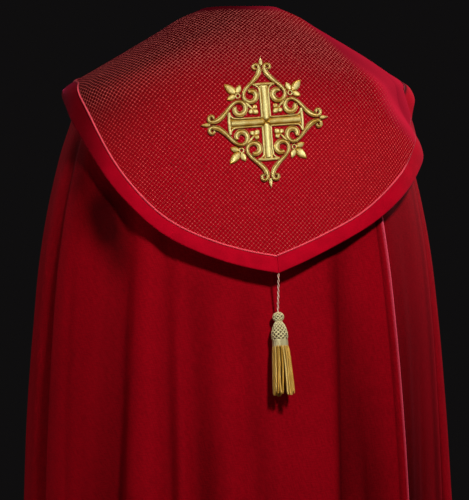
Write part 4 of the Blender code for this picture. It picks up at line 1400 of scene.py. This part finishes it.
class COPE_OT_hood(bpy.types.Operator):
    """The stiff hood: its brocade panel, the velvet band round it and the piping between them"""

    bl_idname = "cope.add_hood"
    bl_label = "Hood"

    def execute(self, context):
        given = context.scene.cope_hood
        brocade = finish_material("cope_brocade", brocade_material, given.ground, given.thread, given.plain)
        velvet = finish_material("cope_velvet", velvet_material, given.velvet)
        piping = finish_material("cope_piping", piping_material, given.piping)
        lining = finish_material("cope_lining", lining_material, context.scene.cope_mantle.lining)
        self.add_panel(given, brocade, lining)
        for side, name in ((1, "left"), (-1, "right")):
            self.add_band(side, name, velvet, lining)
            self.add_piping(side, name, given.piping_radius, piping)
        return {"FINISHED"}

    def add_panel(self, given, brocade, lining):
        """A grid from the neck down to the seam, one column a degree, with its UVs on the flat pattern."""
        azimuth = np.arange(-HOOD_FRONT_END, HOOD_FRONT_END + 0.5, 1.0)
        seam = hood_inset(azimuth, BAND_WIDTH + PANEL_END)
        share = np.linspace(0, 1, 96)[:, None]
        top = HOOD_RINGS[0][0]
        level = top + (seam - top) * share
        azimuth = np.broadcast_to(azimuth, level.shape)
        outer = hood_point(azimuth, level)
        inner = moved_out(hood_point, azimuth, level, np.full(level.shape, -given.thickness))
        shade = painted_hood_shade(azimuth, level)
        # Painted shade over the panel, made darkest along the seam on the right shoulder
        piece = make_mesh(
            "hood_panel_brocade",
            [shell_part(outer, inner, flattened(outer))],
            [brocade, lining],
            Hollow=shade + (DARKEST - shade) * ramp(share, 0.962, 0.016) * right_groove(azimuth),
            Bare=hood_plain(azimuth, level),
        )
        settle(piece, "hood_brocade", "hood_panel")

    def add_band(self, side, name, velvet, lining):
        """A grid from the hood's edge in to the seam: crowned by half a sine, and rounded over at its edge."""
        azimuth = band_azimuths(side)
        width = BAND_WIDTH + BAND_END
        inset = width * (np.linspace(0, 1, 15)[:, None] ** 1.3)
        level = hood_inset(azimuth, inset)
        azimuth = np.broadcast_to(azimuth, level.shape)
        nose = 1 - np.sqrt(np.clip(1 - (1 - np.clip(inset / BAND_ROUND, 0, 1)) ** 2, 0, 1))
        crown = BAND_CROWN * np.sin(np.pi * inset / width) - NOSE_DROP * nose
        mitre = -0.0006 * bell(np.abs(azimuth), 0.0, 0.5)
        outer = moved_out(hood_point, azimuth, level, crown + mitre)
        inner = moved_out(hood_point, azimuth, level, 0.0008 * nose - BAND_THICKNESS)
        length = run_length(outer, axis=1)
        # Painted shade on the band: darker at its upper left and on its right, and darkest along the folded-under
        # seam on the right shoulder
        right_side_shade = ramp(-azimuth, 60.0, 12.0) * ramp(azimuth, -90.0, 10.0)
        painted_light = 0.80 * ramp(azimuth, 41.0, 22.0) + 0.34 * right_side_shade
        folded = smooth_step((inset / width - 0.80) / 0.08) * right_groove(azimuth)
        painted_light = painted_light + (DARKEST - painted_light) * folded
        wall = shell_part(outer, inner, paired(length, inset))
        piece = make_mesh("hood_band_velvet_" + name, [wall], [velvet, lining], Hollow=painted_light)
        settle(piece, "band_velvet", "hood_band_" + name)

    def add_piping(self, side, name, radius, piping):
        """A tube along the seam, which sinks where the hood turns under on the right; its painted light is dimmed
        there, on the whole right side and near the top on the left.
        """
        azimuth = band_azimuths(side)
        along = hood_inset(azimuth, BAND_WIDTH + radius)
        sunk = ramp(-azimuth, 46.0, 7.0)
        path = moved_out(hood_point, azimuth, along, 0.0002 - 0.0016 * sunk)
        outward = speeds(hood_point, azimuth, along)[2]
        sides = 10
        part = tube_part(path, radius, sides, outward)
        # Painted shade on the cord: darker where it sinks, on the right, and near the top on the left
        lit = (1 - sunk) * np.where(azimuth > 0, 1.0, 0.74) * (1 - 0.85 * ramp(azimuth, 66.0, 12.0))
        raised = part[3].copy()
        raised[: sides * len(lit)] *= np.repeat(lit, sides)
        piece = make_mesh("hood_piping_cord_" + name, [(*part[:3], raised)], [piping])
        settle(piece, "piping_cord", "hood_piping_" + name)


# Cross


def laid_on_hood(x, y, lift):
    """Points of the flat drawing, walked out from the cross's middle along the hood's own lengths."""
    lean_x = x * math.cos(CROSS_LEAN_ACROSS) - y * math.sin(CROSS_LEAN_UP)
    lean_y = x * math.sin(CROSS_LEAN_ACROSS) + y * math.cos(CROSS_LEAN_UP)
    azimuth = np.full(np.shape(x), CROSS_AZIMUTH)
    level = np.full(np.shape(x), CROSS_LEVEL)
    steps = 6
    for _ in range(steps):
        level = level + lean_y / steps / speeds(hood_point, azimuth, level)[1]
    for _ in range(steps):
        azimuth = azimuth - lean_x / steps / speeds(hood_point, azimuth, level)[0]
    return moved_out(hood_point, azimuth, level, lift)


def turned(xy, quarter, mirrored):
    """One of the eight like places round the middle."""
    x, y = xy[..., 0], xy[..., 1]
    if mirrored:
        x, y = y, x
    for _ in range(quarter):
        x, y = y, -x
    return np.stack([x, y], axis=-1)


def padded_profile(across, corded):
    """The height across a padded stroke, from 0 to 1: a round crown, or if corded a bed between two cords."""
    across = np.abs(across)
    crown = np.sqrt(np.clip(1 - across**2.2, 0, 1))
    if not corded:
        return crown
    middle = 0.90 * np.sqrt(np.clip(1 - (across / 0.64) ** 2.4, 0, 1))
    cord = 0.98 * np.sqrt(np.clip(1 - ((across - 0.82) / 0.18) ** 2, 0, 1))
    return np.maximum(np.maximum(middle, cord), 0.12 * crown)


def stroke(line, half_width, height, corded=False, across=17):
    """A stroke of the drawing: (flat points, height and UV at each), a row for each step and a column across it."""
    line = np.asarray(line, float)
    run = unit(np.gradient(line, axis=0))
    normal = np.stack([-run[:, 1], run[:, 0]], axis=1)
    offset = np.linspace(-1, 1, across)
    offset = np.sign(offset) * (1 - (1 - np.abs(offset)) ** 1.25)
    off_line = offset * np.asarray(half_width)[:, None]
    flat = line[:, None] + normal[:, None] * off_line[..., None]
    rise = np.broadcast_to(np.asarray(height, float), (len(line),))[:, None] * padded_profile(offset, corded)
    return flat, rise, paired(run_length(line)[:, None], off_line)


def stitched_part(shape, quarter, mirrored):
    """Lays a stroke on the hood as a closed padded piece."""
    flat, rise, uv = shape
    place = turned(flat, quarter, mirrored)
    outer = laid_on_hood(place[..., 0], place[..., 1], GOLD_LIFT + rise)
    inner = laid_on_hood(place[..., 0], place[..., 1], np.full(rise.shape, -GOLD_SINK))
    part, part_uv, slots = shell_part(outer, inner, uv)
    run = unit(np.gradient(place, axis=0))
    # Painted light: the crest is lit and the foot shaded, and the stroke is less lit where it runs across
    raised = np.clip(rise / rise.max(), 0, 1) * (1 - GOLD_LAY_SHADE * run[..., 0] ** 2)
    return part, part_uv, slots * 0, np.concatenate([raised.ravel(), np.zeros(rise.size)])


def widths(shares, values, count):
    """A stroke's half width at each of its points, read smoothly from a few."""
    return smooth_read(shares, values, np.linspace(0, 1, count))


def spiral(centre, radii, angles, count, ease=1.0):
    """Points about a centre: the angle turns evenly, and the radius goes from one value to the other."""
    share = np.linspace(0, 1, count)
    turn = np.radians(angles[0] + (angles[1] - angles[0]) * share)
    radius = radii[0] + (radii[1] - radii[0]) * share**ease
    return np.stack([centre[0] + radius * np.cos(turn), centre[1] + radius * np.sin(turn)], axis=1)


def bezier(start, start_pull, end_pull, end, count):
    """A cubic Bezier curve, without its two end points."""
    t = np.linspace(0, 1, count + 2)[1:-1, None]
    start, start_pull, end_pull, end = map(np.array, (start, start_pull, end_pull, end))
    rise = start * (1 - t) ** 3 + start_pull * 3 * t * (1 - t) ** 2
    return rise + end_pull * 3 * t**2 * (1 - t) + end * t**3


def scroll_line(count):
    """A small volute by the finial, an ogee stem, and a large spiral that curls back in."""
    volute = spiral((0.0100, 0.0868), (0.0024, 0.0058), (-110.0, 185.0), 30)
    hook = spiral((0.0228, 0.0430), (0.0112, 0.0046), (38.0, -300.0), 60, ease=2.6)
    stem = bezier(volute[-1], volute[-1] + [0.0002, -0.0170], hook[0] + [-0.0060, 0.0110], hook[0], 30)
    return smooth_line(np.concatenate([volute, stem, hook]), count)


def petal(base, tip, half_width, height, fullest):
    """A leaf from its base to its point, widest at a share of its length."""
    base, tip = np.array(base), np.array(tip)
    share = np.linspace(0, 1, 22)
    line = base + (tip - base) * share[:, None]
    warped = share ** (math.log(0.5) / math.log(fullest))
    width = half_width * np.maximum(np.sin(np.pi * np.clip(warped, 0, 1)), 0.0) ** 0.8 + 0.0003
    rise = height * np.clip(width / half_width, 0.15, 1) ** 0.5
    return stroke(line, width, rise, across=13)


# The route of the cord down one side of an arm, from its root to its serif
ARM_CORD = (
    (0.0069, 0.0076),
    (0.0069, 0.0300),
    (0.0072, 0.0450),
    (0.0084, 0.0530),
    (0.0124, 0.0572),
    (0.0160, 0.0586),
)


class COPE_OT_cross(bpy.types.Operator):
    """The padded gold cross with its scrolls, leaves, crosslets and finials"""

    bl_idname = "cope.add_cross"
    bl_label = "Embroidered cross"

    def execute(self, context):
        given = context.scene.cope_cross
        colours = (given.light, given.dark, GOLD_FOOT_SHADE)
        gold = finish_material("cope_gold", gold_material, *colours, 1100.0, 0.45, 0.30, 0.36)
        height = given.thread_height
        pieces = (
            ("cross_arms_gold", "cross_arm_", 4, self.arm_shapes(height)),
            ("cross_finials_gold", "finial_", 4, self.finial_shapes(height)),
            ("cross_leaves_gold", "leaf_", 4, self.leaf_shapes(height)),
            ("cross_crosslets_gold", "crosslet_", 4, self.crosslet_shapes(height)),
            ("cross_scrolls_gold", "scroll_", 8, self.scroll_shapes(height)),
        )
        for name, node, copies, shapes in pieces:
            parts = [
                stitched_part(shape, quarter, mirrored)
                for shape, both in shapes
                for quarter in range(4)
                for mirrored in ((False, True) if both else (False,))
            ]
            piece = make_mesh(name, parts, [gold], sharp=70.0)
            settle(piece, "gold_thread", *[node + str(i + 1) for i in range(copies)])
        return {"FINISHED"}

    def arm_shapes(self, height):
        """A low bed, a round bar with a mitred root, a couched cord down each side that flares, and the serif."""
        count = 60
        bed = np.stack([np.zeros(count), np.linspace(0.0004, 0.0585, count)], axis=1)
        bed_width = np.minimum(0.0075, bed[:, 1])
        shapes = [(stroke(bed, bed_width, np.full(count, height * 0.16)), False)]
        bar = np.stack([np.zeros(count), np.linspace(0.0004, 0.0560, count)], axis=1)
        bar_width = np.minimum(0.0050, bar[:, 1])
        shapes.append((stroke(bar, bar_width, height * np.clip(bar_width / 0.0050, 0.3, 1)), False))
        serif = np.stack([np.linspace(-0.0172, 0.0172, 40), np.full(40, 0.0598)], axis=1)
        serif[:, 1] -= 0.0014 * (np.abs(serif[:, 0]) / 0.018) ** 3
        shapes.append((stroke(serif, np.full(40, 0.0024), height * 0.85), False))
        for side in (1, -1):
            line = smooth_line(np.array(ARM_CORD) * [side, 1], 60)
            shapes.append((stroke(line, np.full(60, 0.0015), height * 0.72, across=9), False))
        return shapes

    def finial_shapes(self, height):
        """A straight stroke beyond the arm, widest near its foot and pointed at its end."""
        line = np.stack([np.zeros(24), np.linspace(0.0900, 0.1046, 24)], axis=1)
        width = widths([0, 0.25, 0.5, 0.8, 1.0], [0.0018, 0.0034, 0.0032, 0.0015, 0.0002], 24)
        return [(stroke(line, width, height * 0.9, across=11), False)]

    def leaf_shapes(self, height):
        """A petal out along the diagonal, one on each side of it, and a ringed eyelet at their root."""
        middle = petal((0.0462, 0.0462), (0.0628, 0.0628), 0.0064, height, 0.42)
        side = petal((0.0436, 0.0465), (0.0378, 0.0604), 0.0048, height * 0.85, 0.45)
        ring = spiral((0.0430, 0.0430), (0.0034, 0.0034), (0.0, 360.0), 33)
        eyelet = stroke(ring, np.full(33, 0.0013), height * 0.6, across=9)
        return [(middle, False), (side, True), (eyelet, False)]

    def crosslet_shapes(self, height):
        """Four petals from one point of the diagonal: back, forward and to both sides."""
        stem = petal((0.0335, 0.0335), (0.0180, 0.0180), 0.0020, height * 0.75, 0.35)
        front = petal((0.0205, 0.0205), (0.0128, 0.0128), 0.0046, height * 0.85, 0.55)
        side = petal((0.0212, 0.0212), (0.0135, 0.0262), 0.0042, height * 0.85, 0.60)
        return [(stem, False), (front, False), (side, True)]

    def scroll_shapes(self, height):
        """A corded stroke along the scroll's line, which swells in its curves and tapers at both ends."""
        line = scroll_line(150)
        width = widths(
            [0.0, 0.08, 0.15, 0.22, 0.30, 0.40, 0.50, 0.60, 0.72, 0.84, 0.93, 1.0],
            [0.0025, 0.0027, 0.0030, 0.0040, 0.0040, 0.0032, 0.0028, 0.0029, 0.0037, 0.0046, 0.0044, 0.0040],
            150,
        )
        width[-4:] *= [0.95, 0.8, 0.6, 0.3]
        width[:3] *= [0.4, 0.75, 0.92]
        return [(stroke(line, width, height, corded=True), True)]


# Tassel


def tassel_frame():
    """The tassel's top, its direction down, and the two directions across it: it hangs clear of the mantle."""
    middle, low = np.array(0.0), np.array(KNOB_LEVEL - SKIRT_DROP)
    top = moved_out(mantle_point, middle, np.array(KNOB_LEVEL), KNOB_WIDEST + TASSEL_OFF)
    down = unit(moved_out(mantle_point, middle, low, SKIRT_RADIUS + TASSEL_OFF) - top)
    sideways = np.array([1.0, 0.0, 0.0])
    return top, down, sideways, np.cross(sideways, down)


def about_tassel(drop, radius, turn):
    """Points at a drop below the knob's top, a radius out and a turn round, in radians."""
    top, down, sideways, outward = tassel_frame()
    drop, radius, turn = (np.asarray(v, float)[..., None] for v in np.broadcast_arrays(drop, radius, turn))
    return top + down * drop + radius * (np.cos(turn) * sideways + np.sin(turn) * outward)


def turned_part(profile, sides, rows):
    """A closed turned piece: its profile of drops and radii is carried round the tassel's axis."""
    line = smooth_line(profile, rows)
    path = about_tassel(line[:, 0], 0.0, 0.0)
    return tube_part(path, line[:, 1], sides, (1.0, 0.0, 0.0))


def net_parts(profile, strands):
    """Two families of thin cords that wind both ways round a turned profile and cross in diamonds."""
    line = smooth_line(profile, 40)
    spine = about_tassel(line[:, 0], 0.0, 0.0)
    parts = []
    for way in (1, -1):
        for start in np.linspace(0, 2 * math.pi, strands, endpoint=False):
            turn = start + way * NET_TURNS * 2 * math.pi * np.linspace(0, 1, 40)
            path = about_tassel(line[:, 0], line[:, 1] + NET_LIFT, turn)
            parts.append(tube_part(path, NET_RADIUS, 6, unit(path - spine)))
    return parts


# Turned profiles, as drops and radii, and the sizes of the collar's cords and the skirt's strands
KNOB = ((0.0, 0.0012), (0.0010, 0.0040), (0.0032, 0.0068), (0.0070, 0.0080), (0.0108, 0.0068), (0.0134, 0.0044))
HEAD = ((0.0140, 0.0040), (0.0170, 0.0060), (0.0235, 0.0094), (0.0310, 0.0116), (0.0380, 0.0120), (0.0420, 0.0112))
COLLAR = ((0.0422, 0.0100), (0.0475, 0.0112), (0.0530, 0.0108))
NET_TURNS = 0.42
NET_RADIUS = 0.0009
NET_LIFT = 0.0004
COLLAR_TOP = 0.0425
COLLAR_TURNS = 8
COLLAR_PITCH = 0.00145
COLLAR_RADIUS = 0.0114
WRAP_RADIUS = 0.00085
SKIRT_TOP = 0.0525
STRAND_RADIUS = 0.00148
# Outer and inner strands: the share that are outer, and each kind's radii at the collar and at the end
OUTER_SHARE = 0.68
OUTER_RADII = (0.0108, 0.0160)
INNER_RADII = (0.0060, 0.0095)


class COPE_OT_tassel_cord(bpy.types.Operator):
    """The two-ply cord from the hood's tip to the tassel"""

    bl_idname = "cope.add_tassel_cord"
    bl_label = "Tassel cord"

    def execute(self, context):
        colours = ((1.0, 0.95, 0.80), (1.0, 0.62, 0.46), (0.50, 0.05, 0.05))
        silk = finish_material("tassel_cord_silk", gold_material, *colours, 900.0, 0.6, 0.3, 0.5)
        top = tassel_frame()[0]
        tip = moved_out(hood_point, np.array(0.0), hood_edge(np.array(0.0)), np.array(-0.001))
        start = tip - np.array([0, 0, 0.0003])
        end = top + np.array([0, 0, CORD_END_GAP])
        path = start + (end - start) * np.linspace(0, 1, 90)[:, None]
        part = tube_part(path, CORD_DIAMETER / 2 * 0.86, 16, (1, 0, 0), lobes=2, twist=370.0, lobe_depth=0.34)
        piece = make_mesh("tassel_cord_twist", [part], [silk])
        settle(piece, "gold_thread", "tassel_cord")
        return {"FINISHED"}


class COPE_OT_tassel(bpy.types.Operator):
    """The tassel: a netted knob and head, a bound collar and a skirt of twisted strands"""

    bl_idname = "cope.add_tassel"
    bl_label = "Tassel"

    def execute(self, context):
        given = context.scene.cope_tassel
        colours = (given.net, shaded(given.net, 0.70)[:3], GOLD_FOOT_SHADE)
        net = finish_material("tassel_net", gold_material, *colours, 1600.0, 0.6, 0.3, 0.42)
        core = finish_material("tassel_core", core_material, (0.16, 0.09, 0.02), (0.07, 0.035, 0.006))
        colours = (given.strand, (0.80, 0.44, 0.065), GOLD_FOOT_SHADE)
        strand = finish_material("tassel_strand", gold_material, *colours, 1400.0, 0.9, 0.35, 0.36)
        for name, profile, strands in (("knob", KNOB, 8), ("head", HEAD, 11)):
            parts = [turned_part(profile, 40, 24)] + net_parts(profile, strands)
            parts[0][2][:] = 1
            piece = make_mesh("tassel_" + name + "_net", parts, [net, core])
            settle(piece, "gold_thread", "tassel_" + name)
        self.add_collar(net)
        self.add_skirt(given, strand)
        return {"FINISHED"}

    def add_collar(self, net):
        """Eight turns of cord, one below the other, over a turned bed."""
        parts = []
        for row in range(COLLAR_TURNS):
            drop = COLLAR_TOP + row * COLLAR_PITCH
            turn = np.linspace(0, 2 * math.pi * 1.02, 60)
            path = about_tassel(drop + 0.0001 * turn, COLLAR_RADIUS + 0.0004 * math.sin(row * 0.45), turn)
            parts.append(tube_part(path, WRAP_RADIUS, 6, tassel_frame()[1]))
        parts.append(turned_part(COLLAR, 32, 8))
        piece = make_mesh("tassel_collar_wrap", parts, [net])
        settle(piece, "gold_thread", "tassel_collar")

    def add_skirt(self, given, strand):
        """Each strand runs from the collar to its own end, with a slow bend, and is twisted from two plies."""
        dice = np.random.default_rng(7)
        parts = []
        count = given.strands
        share = np.linspace(0, 1, 46)
        for i in range(count):
            outer = i < count * OUTER_SHARE
            ring = count * (OUTER_SHARE if outer else 1 - OUTER_SHARE)
            turn = 2 * math.pi * (i % ring) / ring + dice.uniform(-0.09, 0.09)
            top_radius, low_radius = OUTER_RADII if outer else INNER_RADII
            low_radius = low_radius + dice.uniform(-0.0012, 0.0006)
            radius = top_radius + (low_radius - top_radius) * np.sqrt(share)
            bend = dice.uniform(-0.16, 0.16) * share**1.5 + 0.05 * np.sin(share * math.pi * dice.uniform(1, 2.2))
            end = SKIRT_DROP - dice.uniform(0.0005, 0.0075)
            drop = SKIRT_TOP + (end - SKIRT_TOP) * share
            path = about_tassel(drop, radius, turn + bend)
            size = STRAND_RADIUS * np.where(share > 0.97, 0.75, 1.0)
            outward = unit(path - about_tassel(drop, 0.0, 0.0))
            made = tube_part(path, size, 10, outward, lobes=2, twist=900.0, lobe_depth=0.12)
            # Painted shade: the inner strands are made half as bright; each strand's brightness is also random
            parts.append((*made[:3], made[3] * dice.uniform(0.50, 1.50) * (1.0 if outer else 0.5)))
        piece = make_mesh("tassel_skirt_strands", parts, [strand])
        settle(piece, "gold_thread", "tassel_skirt")


class COPE_PT_pieces(bpy.types.Panel):
    """Lists the pieces and their settings"""

    bl_label = "Cope"
    bl_idname = "COPE_PT_pieces"
    bl_space_type = "VIEW_3D"
    bl_region_type = "UI"
    bl_category = "Cope"

    def draw(self, context):
        for operator in OPERATORS:
            self.layout.operator(operator.bl_idname)
        for name, group in SETTINGS:
            box = self.layout.box()
            for label in group.__annotations__:
                box.prop(getattr(context.scene, name), label)


OPERATORS = (
    COPE_OT_stage,
    COPE_OT_tassel_cord,
    COPE_OT_mantle,
    COPE_OT_tab,
    COPE_OT_hood,
    COPE_OT_cross,
    COPE_OT_tassel,
)


def register():
    for name, group in SETTINGS:
        bpy.utils.register_class(group)
        setattr(bpy.types.Scene, name, PointerProperty(type=group))
    for kind in (*OPERATORS, COPE_PT_pieces):
        bpy.utils.register_class(kind)


def unregister():
    for kind in (COPE_PT_pieces, *reversed(OPERATORS)):
        bpy.utils.unregister_class(kind)
    for name, group in reversed(SETTINGS):
        delattr(bpy.types.Scene, name)
        bpy.utils.unregister_class(group)


def main():
    """Registers the classes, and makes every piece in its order."""
    register()
    for operator in OPERATORS:
        family, name = operator.bl_idname.split(".")
        getattr(getattr(bpy.ops, family), name)()


if __name__ == "__main__":
    main()
